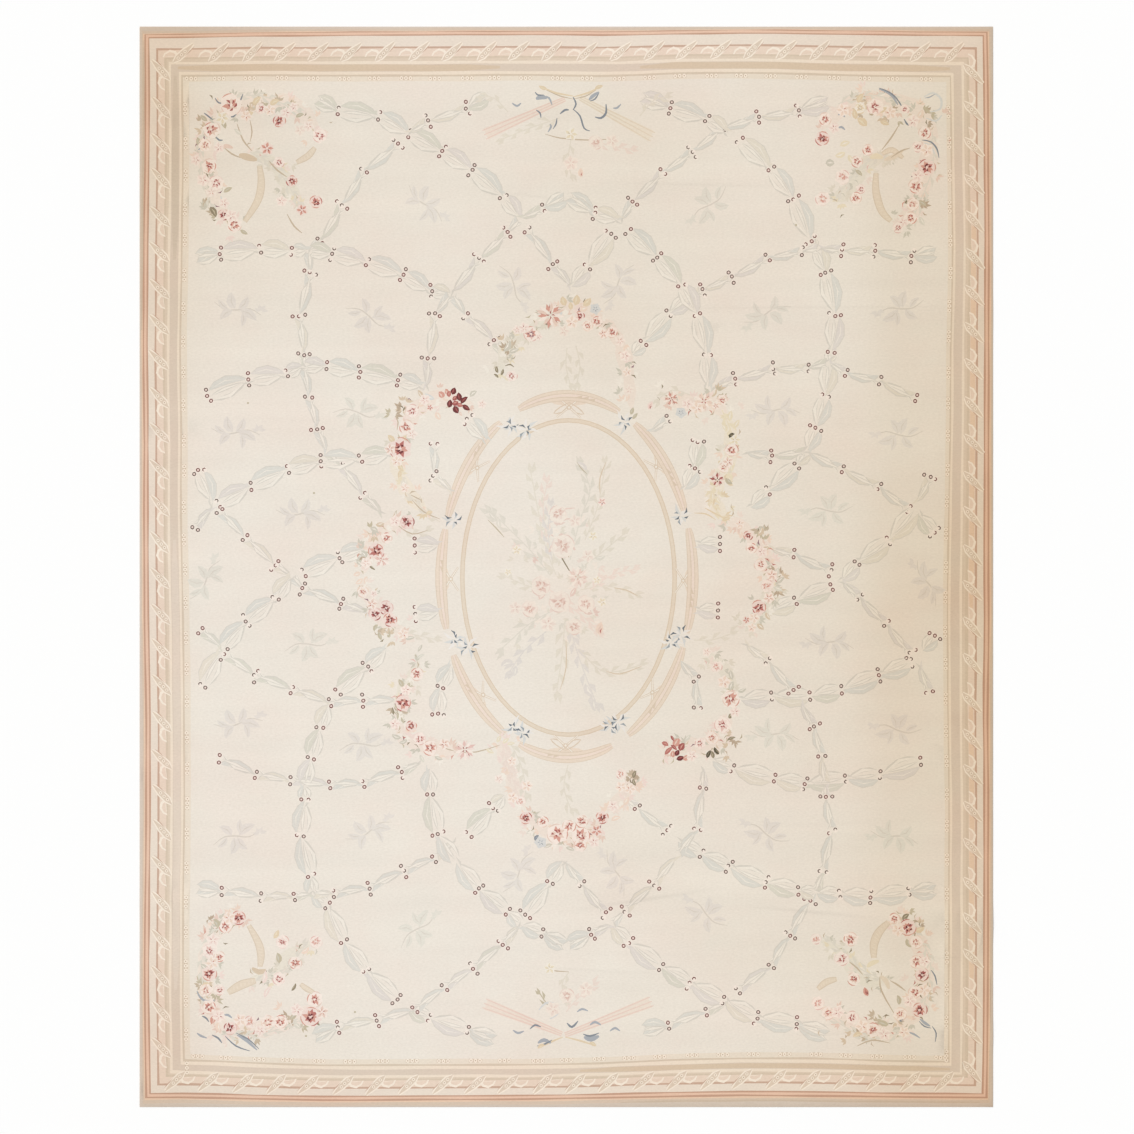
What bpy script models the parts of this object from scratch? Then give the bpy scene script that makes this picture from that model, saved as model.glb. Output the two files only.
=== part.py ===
"""A flat tapestry-woven rug in the Aubusson manner, lying on a floor.

Metres, +Z up. X runs across the rug and Y along it, towards its head. The origin is on the
floor, below the middle of the rug. The rug is one cloth of even thickness. It lies flat,
apart from a few soft ridges where the cloth has crept and hasn't settled.
"""

import math
from collections import namedtuple

import bmesh
import bpy
from mathutils import Vector

NAME = "rug"

# The cloth: about 11 by 14 feet of weft-faced tapestry.
WIDTH = 3.36
LENGTH = 4.254
THICKNESS = 0.003

# The faces that follow the ridges: long across the rug, short along it.
COLUMNS = 24
ROWS = 140

# The average of the cream field, the roses and the tan border.
CLOTH_COLOUR = (0.80, 0.72, 0.60, 1.0)
CLOTH_ROUGHNESS = 0.9

# Each ridge runs along its crest from start to end, and falls to the floor on both sides
# within half_width. A crest that ends past an edge of the rug lifts that edge a little.
Ridge = namedtuple("Ridge", "start_x start_y end_x end_y half_width height")
RIDGES = (
    Ridge(-1.90, 1.845, -0.52, 1.775, 0.085, 0.0030),
    Ridge(-0.42, 1.495, 0.20, 1.420, 0.080, 0.0028),
    Ridge(0.06, 1.520, 1.05, 1.490, 0.085, 0.0032),
    Ridge(0.10, 1.020, 1.88, 1.000, 0.095, 0.0036),
    Ridge(0.28, -1.262, 0.98, -1.300, 0.090, 0.0038),
    Ridge(0.74, -1.345, 1.95, -1.420, 0.100, 0.0045),
    Ridge(-0.48, -1.560, 0.60, -1.615, 0.090, 0.0032),
    Ridge(-1.92, -1.330, -0.86, -1.300, 0.085, 0.0026),
    Ridge(0.76, -1.850, 1.92, -1.835, 0.090, 0.0036),
)


def remove_objects():
    """Empties the scene of its objects."""
    for thing in list(bpy.data.objects):
        bpy.data.objects.remove(thing, do_unlink=True)


def make_collection(name):
    """Adds a collection of this name to the scene."""
    collection = bpy.data.collections.new(name)
    bpy.context.scene.collection.children.link(collection)
    return collection


def cloth_material():
    """The cloth's plain finish."""
    material = bpy.data.materials.new("woven wool")
    material.use_nodes = True
    shader = material.node_tree.nodes["Principled BSDF"]
    shader.inputs["Base Color"].default_value = CLOTH_COLOUR
    shader.inputs["Roughness"].default_value = CLOTH_ROUGHNESS
    shader.inputs["Metallic"].default_value = 0.0
    return material


def ridge_lift(ridge, x, y):
    """How high one ridge lifts the cloth off the floor at (x, y)."""
    start = Vector((ridge.start_x, ridge.start_y))
    crest = Vector((ridge.end_x, ridge.end_y)) - start
    offset = Vector((x, y)) - start
    along = offset.dot(crest) / crest.length_squared
    across = (offset - crest * along).length / ridge.half_width
    if across >= 1.0 or not 0.0 < along < 1.0:
        return 0.0
    swell = math.sin(math.pi * along)
    bell = 0.5 + 0.5 * math.cos(math.pi * across)
    return ridge.height * swell * bell


def lift(x, y):
    """The height of the cloth's underside above the floor at (x, y)."""
    return max(ridge_lift(ridge, x, y) for ridge in RIDGES)


def underside_mesh():
    """The underside as an open sheet of quads that follows the ridges."""
    bm = bmesh.new()
    bmesh.ops.create_grid(bm, x_segments=COLUMNS, y_segments=ROWS, size=0.5)
    bmesh.ops.scale(bm, vec=(WIDTH, LENGTH, 1.0), verts=bm.verts)
    for vertex in bm.verts:
        vertex.co.z = lift(vertex.co.x, vertex.co.y)
    mesh = bpy.data.meshes.new(NAME)
    bm.to_mesh(mesh)
    bm.free()
    return mesh


def build_rug(collection):
    """The rug as one closed sheet, which grows upwards from its underside."""
    rug = bpy.data.objects.new(NAME, underside_mesh())
    collection.objects.link(rug)
    rug.data.materials.append(cloth_material())
    rug.data.shade_smooth()
    thicken = rug.modifiers.new("thickness", "SOLIDIFY")
    thicken.thickness = THICKNESS
    thicken.offset = 1.0
    return rug


def main():
    remove_objects()
    build_rug(make_collection("aubusson rug"))


main()
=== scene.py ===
import math
import random
from collections import namedtuple

import bpy
import numpy as np
from mathutils.bvhtree import BVHTree
from mathutils.geometry import delaunay_2d_cdt
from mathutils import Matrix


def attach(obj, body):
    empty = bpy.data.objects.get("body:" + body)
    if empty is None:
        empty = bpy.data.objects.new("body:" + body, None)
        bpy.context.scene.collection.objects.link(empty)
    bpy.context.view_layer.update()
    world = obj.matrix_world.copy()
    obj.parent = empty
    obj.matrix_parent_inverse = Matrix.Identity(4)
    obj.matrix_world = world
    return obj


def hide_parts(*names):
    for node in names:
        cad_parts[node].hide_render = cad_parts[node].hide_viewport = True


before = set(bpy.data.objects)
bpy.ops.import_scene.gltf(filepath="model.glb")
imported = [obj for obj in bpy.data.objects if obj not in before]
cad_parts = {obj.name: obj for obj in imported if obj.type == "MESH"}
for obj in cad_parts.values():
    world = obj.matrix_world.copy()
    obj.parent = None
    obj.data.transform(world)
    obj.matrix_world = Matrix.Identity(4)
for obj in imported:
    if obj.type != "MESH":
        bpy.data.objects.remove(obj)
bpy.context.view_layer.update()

# The rug as one closed sheet of cloth in place of the part's solid, with the pattern cut into it
# as flat shapes of wool, and with its floor, light and camera. Metres, +Z up.


def table(kind, *rows):
    """The rows of a table, with their columns named by kind."""
    return [kind(*row) for row in rows]


# The rug's cloth, in metres.
WIDTH = 3.36
LENGTH = 4.254
THICKNESS = 0.003
EDGE_ROUND = 0.0012

# The photograph shows the rug from straight above. Its pixels are the pattern's unit, from its
# upper left corner. Here are its size, one pixel in metres, and the rug's middle and sides.
PHOTO_SIZE = 1134
PIXEL = 0.003937
MID_X = 566.3
MID_Y = 566.8
LEFT, TOP, RIGHT, BOTTOM = 139.6, 26.6, 993.0, 1107.0

# Where the cloth has crept and stands a little off the floor, as in the part's source.
Ridge = namedtuple("Ridge", "start_x start_y end_x end_y half_width height")
RIDGES = table(
    Ridge,
    (-1.90, 1.845, -0.52, 1.775, 0.085, 0.0030),
    (-0.42, 1.495, 0.20, 1.420, 0.080, 0.0028),
    (0.06, 1.520, 1.05, 1.490, 0.085, 0.0032),
    (0.10, 1.020, 1.88, 1.000, 0.095, 0.0036),
    (0.28, -1.262, 0.98, -1.300, 0.090, 0.0038),
    (0.74, -1.345, 1.95, -1.420, 0.100, 0.0045),
    (-0.48, -1.560, 0.60, -1.615, 0.090, 0.0032),
    (-1.92, -1.330, -0.86, -1.300, 0.085, 0.0026),
    (0.76, -1.850, 1.92, -1.835, 0.090, 0.0036),
)

# The wools' colours as 0 to 255 screen values, before age darkens them.
YARN = {
    "ground": (236, 228, 216),
    "overcast": (214, 200, 186),
    "outer tan": (216, 197, 178),
    "outer light": (232, 203, 178),
    "salmon": (232, 198, 175),
    "brown line": (198, 160, 138),
    "cream": (234, 221, 206),
    "rod edge": (203, 173, 153),
    "rod": (233, 213, 195),
    "rod inner": (216, 199, 178),
    "rod shadow": (223, 206, 186),
    "cream line": (239, 224, 205),
    "wide tan": (221, 205, 188),
    "taupe": (216, 200, 180),
    "strip": (234, 222, 205),
    "ribbon": (245, 233, 217),
    "ribbon fill": (222, 205, 186),
    "ribbon ring": (192, 170, 148),
    "berry": (124, 84, 79),
    "berry grey": (112, 97, 89),
    "berry halo": (243, 232, 221),
    "berry heart": (237, 217, 207),
    "blue leaf": (221, 218, 209),
    "green leaf": (220, 216, 202),
    "lavender leaf": (225, 218, 210),
    "pale leaf": (229, 221, 206),
    "leaf line": (218, 212, 201),
    "leaf light": (240, 233, 221),
    "sprig": (227, 222, 210),
    "sprig lilac": (228, 221, 212),
    "sprig line": (218, 210, 198),
    "ring tan": (233, 217, 199),
    "ring pink": (237, 220, 206),
    "ring edge": (220, 203, 182),
    "ring inner": (228, 214, 195),
    "knot blue": (158, 165, 169),
    "knot dark": (114, 122, 129),
    "knot pale": (236, 231, 224),
    "blue": (172, 176, 181),
    "light blue": (217, 217, 213),
    "deep blue": (138, 144, 151),
    "olive": (198, 188, 164),
    "dark leaf": (150, 138, 116),
    "black leaf": (96, 90, 74),
    "grey leaf": (208, 203, 188),
    "tan leaf": (216, 198, 174),
    "ochre": (226, 208, 179),
    "yellow": (232, 220, 194),
    "peach": (237, 216, 199),
    "pink": (227, 194, 184),
    "pale pink": (238, 219, 209),
    "red": (189, 122, 114),
    "deep red": (168, 98, 94),
    "maroon": (116, 62, 62),
    "coral": (214, 162, 147),
    "stem": (200, 184, 162),
    "ribbon edge": (218, 203, 182),
    "wreath tan": (228, 214, 194),
    "wreath light": (233, 220, 201),
    "violet": (146, 112, 122),
    "dull leaf": (224, 216, 200),
    "dull pink": (236, 221, 209),
    "dull coral": (230, 206, 191),
    "ring side": (219, 202, 179),
    "rosy wash": (237, 224, 211),
    "yellow wash": (236, 226, 209),
    "leafy wash": (231, 224, 209),
    "faint rim": (240, 229, 216),
    "faint petal": (235, 219, 207),
    "faint shade": (229, 206, 194),
    "faint heart": (217, 185, 171),
    "faint leaf": (227, 219, 204),
    "faint green": (224, 218, 205),
    "faint lilac": (225, 218, 210),
    "rod pink": (233, 208, 195),
    "rod fill": (237, 223, 209),
    "dot taupe": (211, 193, 172),
    "outer dark": (208, 190, 170),
    "tan dark": (217, 197, 173),
    "tan light": (226, 211, 195),
    "tan grey": (212, 197, 179),
    "brown leaf": (190, 172, 150),
    "moss": (184, 172, 148),
    "rod warm": (231, 205, 180),
    "petal light": (244, 231, 220),
}


def linear(colour):
    """A 0 to 255 sRGB screen colour as the renderer's own linear values."""
    parts = []
    for value in colour:
        share = value / 255.0
        parts.append(share / 12.92 if share <= 0.04045 else ((share + 0.055) / 1.055) ** 2.4)
    return tuple(parts)


YARN = {name: linear(colour) for name, colour in YARN.items()}


def curve(knots, steps=4):
    """A smooth line through the knots, with this many steps from each to the next."""
    padded = [knots[0], *knots, knots[-1]]
    line = []
    for a, b, c, d in zip(padded, padded[1:], padded[2:], padded[3:]):
        for step in range(steps):
            t = step / steps
            line.append(tuple(
                0.5 * (2 * q + (r - p) * t + (2 * p - 5 * q + 4 * r - s) * t * t
                       + (3 * q - p - 3 * r + s) * t ** 3)
                for p, q, r, s in zip(a, b, c, d)
            ))
    line.append(tuple(knots[-1]))
    return line


class Place:
    """A motif's own frame: u along its turn and v to the left of it, in pixels times size."""

    def __init__(self, x, y, turn=0.0, size=1.0, flip=1):
        angle = math.radians(turn)
        self.x = x
        self.y = y
        self.across = size * math.cos(angle)
        self.up = size * math.sin(angle)
        self.flip = flip

    def at(self, u, v):
        """A spot of this frame as a spot of the pattern."""
        v *= self.flip
        return (self.x + u * self.across - v * self.up, self.y - u * self.up - v * self.across)


def heading(start, end):
    """The turn from one spot towards another, in degrees anticlockwise from the right."""
    return math.degrees(math.atan2(start[1] - end[1], end[0] - start[0]))


def between(start, end, flip=1):
    """A frame with its origin at start, u towards end, and the distance between them."""
    length = math.hypot(end[0] - start[0], end[1] - start[1])
    return Place(start[0], start[1], heading(start, end), 1.0, flip), length


def signed_area(spots):
    """The area inside a closed line, which is below 0 where the line turns the other way."""
    twice = 0.0
    for (ax, ay), (bx, by) in zip(spots, spots[1:] + spots[:1]):
        twice += ax * by - bx * ay
    return twice / 2


# How far a lot of wool strays from its colour, the smallest shape in square pixels, and the
# shortest length that anything is divided by.
LOT_SPREAD = 0.012
LEAST_AREA = 0.001
TINY = 1e-6

# A blade's widths along it, as shares of its length and of its full width, and where along it a
# stroke is widest.
BladeStep = namedtuple("BladeStep", "along width")
BLADE = table(BladeStep, (0.0, 0.0), (0.22, 0.78), (0.5, 1.0), (0.8, 0.62), (1.0, 0.0))
STROKE_MIDDLE = 0.45


class Cartoon:
    """The pattern as flat coloured shapes in pixels. A later shape covers an earlier one."""

    def __init__(self, seed):
        self.dice = random.Random(seed)
        self.lot = 1.0
        self.points = []
        self.shapes = []
        self.colours = []

    def next_lot(self):
        """The wool from here on comes a little lighter or darker, as hand-dyed wool does."""
        self.lot = 1.0 + self.dice.uniform(-LOT_SPREAD, LOT_SPREAD)

    def tint(self, colour):
        """A wool's colour as this lot has it."""
        return tuple(part * self.lot for part in YARN[colour])

    def around(self, x, y, turn, count, step, jitter, size=1.0):
        """Frames on one spot, each turned a step on from the last, give or take the jitter."""
        for i in range(count):
            yield Place(x, y, turn + step * i + self.dice.uniform(-jitter, jitter), size)

    def point(self, x, y):
        """Adds a point and gives its number."""
        self.points.append((x, y))
        return len(self.points) - 1

    def shape(self, corners, colour):
        """Adds a shape by its corners' numbers, turned the same way round as all others."""
        area = signed_area([self.points[corner] for corner in corners])
        if abs(area) < LEAST_AREA:
            return
        self.shapes.append(corners[::-1] if area > 0 else corners)
        self.colours.append(colour)

    def patch(self, outline, colour):
        """A flat patch inside a closed line."""
        corners = [self.point(x, y) for x, y in outline]
        self.shape(corners, self.tint(colour))

    def strip(self, axis, widths, colour):
        """A strip along an axis, with its own width at each of the axis's points."""
        colour = self.tint(colour)
        sides = []
        for i, ((x, y), width) in enumerate(zip(axis, widths)):
            behind = axis[max(i - 1, 0)]
            ahead = axis[min(i + 1, len(axis) - 1)]
            dx = ahead[0] - behind[0]
            dy = ahead[1] - behind[1]
            reach = 0.5 * width / max(math.hypot(dx, dy), TINY)
            near = self.point(x + dy * reach, y - dx * reach)
            far = self.point(x - dy * reach, y + dx * reach) if width > 0 else near
            sides.append((near, far))
        for (a, b), (c, d) in zip(sides, sides[1:]):
            if a != b:
                self.shape([a, b, c], colour)
            if c != d:
                self.shape([b, d, c], colour)

    def line(self, knots, width, colour, steps=3, taper=0.35):
        """A drawn line through the knots, thinner towards its ends."""
        axis = curve(knots, steps)
        last = len(axis) - 1
        swells = [taper + (1 - taper) * math.sin(math.pi * i / last) for i in range(last + 1)]
        self.strip(axis, [width * swell for swell in swells], colour)

    def blade(self, base, tip, width, colour, bend=0.0):
        """A leaf or petal from base to tip, which bulges to its left by bend of its length."""
        dx = tip[0] - base[0]
        dy = tip[1] - base[1]
        axis = []
        for step in BLADE:
            t = step.along
            arch = 4.0 * bend * t * (1.0 - t)
            axis.append((base[0] + dx * t + dy * arch, base[1] + dy * t - dx * arch))
        self.strip(axis, [width * step.width for step in BLADE], colour)

    def stroke(self, base, tip, width, colour, lean=0.0):
        """A short stitch-like touch, widest near its middle, where it leans to its left."""
        dx = tip[0] - base[0]
        dy = tip[1] - base[1]
        half = 0.5 * width / max(math.hypot(dx, dy), TINY)
        x = base[0] + STROKE_MIDDLE * dx
        y = base[1] + STROKE_MIDDLE * dy
        left, right = ((x + side * dy, y - side * dx) for side in (lean + half, lean - half))
        self.patch([base, left, tip, right], colour)

    def disc(self, x, y, radius, colour, sides=8, squash=1.0, turn=0.0, waves=0.0):
        """A round patch, or one with a scalloped rim where waves is above 0."""
        place = Place(x, y, turn, radius)
        outline = []
        for i in range(sides):
            angle = 2 * math.pi * (i + 0.5) / sides
            reach = 1.0 - waves * (i % 2)
            outline.append(place.at(reach * math.cos(angle), reach * squash * math.sin(angle)))
        self.patch(outline, colour)

    def arc(self, x, y, radius, start, span, width, colour, steps=3):
        """Part of a circle, from an angle in degrees on through its span, thin at both ends."""
        axis = []
        for i in range(steps + 1):
            place = Place(x, y, start + span * i / steps, radius)
            axis.append(place.at(1.0, 0.0))
        widths = [width * (0.3 if i in (0, steps) else 1.0) for i in range(steps + 1)]
        self.strip(axis, widths, colour)


# The border's lines, from the edge inwards: how deep each ends from the left, top, right and
# bottom edges, in pixels.
Band = namedtuple("Band", "yarn left top right bottom")
BANDS = table(
    Band,
    ("overcast", 1.2, 1.4, 1.1, 2.0),
    ("outer tan", 2.4, 3.8, 2.4, 5.2),
    ("outer light", 3.5, 4.4, 3.6, 6.6),
    ("brown line", 5.2, 5.2, 5.4, 8.3),
    ("salmon", 7.3, 7.5, 7.6, 10.3),
    ("brown line", 8.8, 8.8, 9.3, 11.7),
    ("cream", 15.2, 19.6, 15.4, 18.4),
    ("rod edge", 17.0, 21.5, 17.4, 20.2),
    ("rod", 23.2, 29.6, 23.6, 26.4),
    ("rod inner", 25.2, 31.4, 26.4, 28.0),
    ("rod shadow", 27.3, 34.3, 29.3, 29.2),
    ("cream line", 29.6, 37.2, 31.6, 31.8),
    ("wide tan", 37.4, 44.8, 40.1, 37.4),
    ("cream line", 39.5, 47.8, 42.3, 40.6),
    ("taupe", 41.2, 49.8, 43.8, 42.4),
    ("strip", 47.0, 54.5, 47.5, 47.5),
)

# How far the lines stray inwards at places along each side: the outermost line, and those from
# STRAY_DEPTH inwards.
Stray = namedtuple("Stray", "place outer inner")
STRAYS = {
    "left": table(
        Stray,
        (26, 1.0, 1.8), (90, 1.5, 2.4), (180, 0.6, 2.8), (260, -0.6, 1.6),
        (350, -0.6, 0.2), (440, 0.2, 1.2), (530, 0.0, 1.0), (620, 0.2, 3.2),
        (710, 2.0, 4.0), (800, 2.0, 4.4), (890, 1.3, 3.4), (980, 0.2, 2.8),
        (1107, 2.2, 4.4),
    ),
    "top": table(
        Stray,
        (139, 3.8, 0.8), (200, 2.8, 0.6), (260, 1.8, -0.4), (330, 0.9, 0.4),
        (460, 0.0, 0.0), (540, 0.0, -0.5), (610, 0.3, 0.8), (680, -0.3, -2.2),
        (750, -1.5, -2.8), (820, -0.8, -0.8), (890, 0.0, 0.6), (993, 1.0, 1.6),
    ),
    "right": table(
        Stray,
        (26, 1.8, -0.4), (90, 0.9, -0.6), (170, 0.4, -1.7), (260, 0.0, -2.8),
        (350, 0.0, -0.7), (440, 0.0, -0.3), (530, 0.0, 1.6), (620, -0.6, 2.6),
        (710, 0.8, 2.0), (800, 0.2, 0.8), (1000, 0.6, 1.2), (1107, 2.2, 1.6),
    ),
    "bottom": table(
        Stray,
        (139, 1.2, 5.4), (190, 1.8, 5.4), (260, 0.0, 2.2), (330, -0.8, 0.0),
        (470, 0.0, 0.8), (540, 0.6, 0.6), (610, 1.8, 2.6), (680, 2.8, 5.8),
        (750, 3.6, 7.4), (820, 3.0, 7.0), (890, 2.2, 4.6), (993, 1.8, 3.0),
    ),
}
STRAY_DEPTH = 40.0

# The lines' own small waves: their size, and how they turn along the side and inwards.
Wobble = namedtuple("Wobble", "size along inwards")
WOBBLES = table(Wobble, (0.22, 0.061, 1.7), (0.16, 0.137, 2.9))

# The step from point to point along a line, and how deep even the outermost one has to lie.
BAND_STEP = 34.0
EDGE_DEPTH = 0.5


def stray(side, place, depth):
    """How far a border line of this depth strays inwards at a place along its side."""
    rows = STRAYS[side]
    places = [row.place for row in rows]
    outer = np.interp(place, places, [row.outer for row in rows])
    inner = np.interp(place, places, [row.inner for row in rows])
    share = min(depth / STRAY_DEPTH, 1.0)
    wobble = sum(row.size * math.sin(place * row.along + depth * row.inwards) for row in WOBBLES)
    return float(outer * (1 - share) + inner * share) + wobble


def side_spot(side, place, depth):
    """The spot at a depth from one side, at a place along it."""
    depth = max(depth + stray(side, place, depth), EDGE_DEPTH + 0.2 * depth)
    if side == "left":
        return (LEFT + depth, place)
    if side == "right":
        return (RIGHT - depth, place)
    if side == "top":
        return (place, TOP + depth)
    return (place, BOTTOM - depth)


def border_outline(band):
    """The closed line where a border line ends on its inner side."""
    outline = []
    start_x, end_x = LEFT + band.left, RIGHT - band.right
    start_y, end_y = TOP + band.top, BOTTOM - band.bottom
    corners = [
        (side_spot(side, y, getattr(band, side))[0], side_spot(end, x, getattr(band, end))[1])
        for side, y, end, x in (
            ("left", start_y, "top", start_x), ("right", start_y, "top", end_x),
            ("right", end_y, "bottom", end_x), ("left", end_y, "bottom", start_x),
        )
    ]
    runs = (
        ("top", start_x, end_x, band.top),
        ("right", start_y, end_y, band.right),
        ("bottom", end_x, start_x, band.bottom),
        ("left", end_y, start_y, band.left),
    )
    for corner, (side, start, end, depth) in zip(corners, runs):
        outline.append(corner)
        steps = int(abs(end - start) / BAND_STEP)
        for step in range(1, steps):
            outline.append(side_spot(side, start + (end - start) * step / steps, depth))
    return outline


def draw_bands(art):
    """The border's plain lines, each inside the last, and the cream field inside them all."""
    yarns = [band.yarn for band in BANDS[1:]] + ["ground"]
    for outer, yarn in zip(BANDS, yarns):
        art.patch(border_outline(outer), yarn)


# Lengths of border lines whose wool came from another lot, at a depth from their side.
Abrash = namedtuple("Abrash", "side start end depth width yarn")
ABRASH = table(
    Abrash,
    ("top", 178, 500, 41.0, 6.6, "tan dark"), ("top", 640, 950, 41.0, 6.6, "tan dark"),
    ("left", 76, 260, 33.6, 6.8, "tan grey"), ("left", 540, 990, 33.6, 6.8, "tan light"),
    ("bottom", 580, 950, 34.6, 4.8, "tan dark"), ("left", 40, 330, 2.8, 1.8, "outer dark"),
    ("bottom", 620, 980, 2.8, 1.8, "outer dark"), ("right", 200, 620, 20.6, 5.0, "rod warm"),
    ("right", 690, 1000, 20.6, 5.0, "rod warm"),
)


def draw_abrash(art):
    """Stretches of the border in wool of another lot."""
    for row in ABRASH:
        art.next_lot()
        count = max(2, round((row.end - row.start) / BAND_STEP))
        places = [row.start + (row.end - row.start) * i / count for i in range(count + 1)]
        axis = [side_spot(row.side, place, row.depth) for place in places]
        widths = [row.width * (0.4 if i in (0, count) else 1.0) for i in range(count + 1)]
        art.strip(axis, widths, row.yarn)


# The ribbon that winds round the border's rod: where its crossings start, their step and
# number, along each side. The turn makes u run on along the side, with v to its left.
Winding = namedtuple("Winding", "side start step count depth turn")
WINDINGS = table(
    Winding,
    ("top", 182.0, 33.5, 24, 24.8, 0),
    ("right", 72.1, 36.9, 28, 19.6, -90),
    ("bottom", 945.6, -33.4, 24, 22.2, 180),
    ("left", 1050.4, -36.2, 28, 19.6, 90),
)


def draw_ringlet(art, x, y, radius):
    """A small ring of the ribbon's wool."""
    art.disc(x, y, radius, "ribbon", 6)
    art.disc(x, y, 0.8, "ribbon ring", 4)


def draw_winding(art, place):
    """One crossing of the ribbon: a slanting outlined band with rings on it, and its curl."""
    at = place.at
    art.blade(at(-2.0, -2.6), at(-18.5, -4.6), 7.0, "ribbon", -0.2)
    art.blade(at(-4.4, -3.2), at(-17.0, -4.6), 4.0, "rod", -0.22)
    slant = [at(12.0, 9.6), at(4.0, 1.6), at(-3.0, -5.0), at(-7.6, -9.2)]
    art.strip(slant, (3.0, 8.0, 8.0, 2.6), "ribbon")
    art.strip(slant, (0.6, 5.2, 5.2, 0.6), "ribbon fill")
    for along in (3.4, 0.0, -3.4):
        draw_ringlet(art, *at(0.6 + along, along - 1.6), 1.7)
    art.stroke(at(13.5, 7.0), at(3.4, -3.8), 1.1, "rod edge")


def draw_windings(art):
    """The ribbon's crossings, round all four sides."""
    for row in WINDINGS:
        for i in range(row.count):
            art.next_lot()
            along = row.start + row.step * i + art.dice.uniform(-1.2, 1.2)
            x, y = side_spot(row.side, along, row.depth)
            draw_winding(art, Place(x, y, row.turn + art.dice.uniform(-3, 3)))


# The small groups of three rings just inside the border: where they start along each side.
Dots = namedtuple("Dots", "side start step count depth")
DOTS = table(
    Dots,
    ("top", 190.0, 30.6, 25, 51.6),
    ("right", 110.0, 32.6, 30, 45.2),
    ("bottom", 196.0, 31.0, 25, 45.6),
    ("left", 109.0, 33.0, 30, 43.2),
)


def draw_dots(art):
    """Each group of three on its own short bar."""
    for row in DOTS:
        for i in range(row.count):
            middle = row.start + row.step * i + art.dice.uniform(-2, 2)
            ends = [side_spot(row.side, middle + shift, row.depth) for shift in (-6.6, 6.6)]
            art.strip(ends, (3.6, 3.6), "dot taupe")
            for shift in (-4.5, 0.0, 4.5):
                draw_ringlet(art, *side_spot(row.side, middle + shift, row.depth), 2.1)


# The medallion: two ellipses round the bouquet.
Ellipse = namedtuple("Ellipse", "x y across up")
OUTER_RING = Ellipse(567.0, 576.5, 126.0, 181.0)
INNER_RING = Ellipse(568.5, 577.5, 106.2, 157.2)

# The outer ring's parts, from one angle to another, in degrees.
RING_PARTS = (
    (65.4, 112.5), (121.6, 160.8), (164.8, 196.9), (205.7, 240.5),
    (247.6, 290.9), (299.0, 337.0), (341.8, 375.5), (380.9, 417.6),
)

# The blue bows on the outer ring.
Knot = namedtuple("Knot", "x y turn")
KNOTS = table(
    Knot,
    (510, 425, 60), (527, 430, 150), (625, 422, 120), (681, 516, 60), (454, 520, 10), (681, 635, 40),
    (671, 643, 160), (455, 639, 130), (468, 647, 30), (514, 727, 140), (523, 733, 30), (611, 726, 60),
    (618, 722, 120),
)

# The lines that each part of the outer ring is made of: how far out from its middle, and how wide
# in its own middle. Its ends are narrower.
RingLine = namedtuple("RingLine", "out width yarn")
RING_LINES = table(
    RingLine,
    (0.0, 11.2, "ring edge"), (3.6, 2.7, "ring tan"), (0.1, 2.8, "ring pink"), (-3.5, 2.7, "ring tan"),
)
RING_WAIST = 0.5
PART_STEPS = 16
WHOLE_STEPS = 64


def ellipse_spot(ellipse, angle, out=0.0):
    """The spot on an ellipse at an angle in degrees, moved outwards by out."""
    cos = math.cos(math.radians(angle))
    sin = math.sin(math.radians(angle))
    normal_x = cos / ellipse.across
    normal_y = sin / ellipse.up
    size = math.hypot(normal_x, normal_y)
    x = ellipse.x + ellipse.across * cos + out * normal_x / size
    return (x, ellipse.y - ellipse.up * sin - out * normal_y / size)


def ring_part(art, ellipse, start, end, out, width, colour, waist=1.0, steps=PART_STEPS):
    """Part of a ring from one angle to another; its ends have waist times its full width."""
    axis = []
    widths = []
    for i in range(steps + 1):
        share = i / steps
        swell = waist + (1 - waist) * math.sin(math.pi * share) ** 0.5
        axis.append(ellipse_spot(ellipse, start + (end - start) * share, out * swell))
        widths.append(width * swell)
    art.strip(axis, widths, colour)


def draw_tie(art, angle):
    """A swelling of the outer ring, with crossed strings from it to the inner one."""
    wide = abs(math.sin(math.radians(angle))) > 0.9
    depth, reach, width = (24.0, 24, 7.0) if wide else (19.5, 14, 5.0)
    place, gap = between(ellipse_spot(OUTER_RING, angle), ellipse_spot(OUTER_RING, angle, -depth))
    at = place.at
    art.blade(at(4.5, -reach), at(4.5, reach), width, "ring tan", -0.06)
    for side in (1, -1):
        string = [at(4, side * 9), at(0.5 * gap, -side * 0.5), at(gap - 2, -side * 12)]
        art.line(string, 2.4, "ring edge", 3, 0.7)
        art.line(string, 1.1, "leaf light", 3, 0.7)
        if wide:
            loop = [at(7, 0), at(12, side * 9), at(18, side * 15), at(17, side * 7), at(9, 0)]
            art.line(loop, 1.2, "ring edge", 2, 0.7)
    x, y = at(0.5 * gap, 0)
    art.disc(x, y, 2.4, "ring edge", 6)
    art.disc(x, y, 1.3, "leaf light", 5)


def draw_knot(art, row):
    """A small bow: thin pale loops crossed by dark strokes in grey and blue."""
    art.next_lot()
    for i, place in enumerate(art.around(row.x, row.y, row.turn, 7, 51, 16)):
        tip = place.at(art.dice.uniform(7, 15), art.dice.uniform(-3, 3))
        art.stroke(place.at(0.5, 0), tip, 3.2, ("knot pale", "light blue")[i % 2], 0.12)
    for i, place in enumerate(art.around(row.x, row.y, row.turn, 5, 72, 24)):
        u = art.dice.uniform(0.2, 4.0)
        tip = place.at(u + art.dice.uniform(3.6, 8.4), 0.8)
        lean = art.dice.choice((-0.22, 0.22))
        art.stroke(place.at(u, -1), tip, 2.1, ("knot dark", "knot blue")[i % 2], lean)


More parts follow.
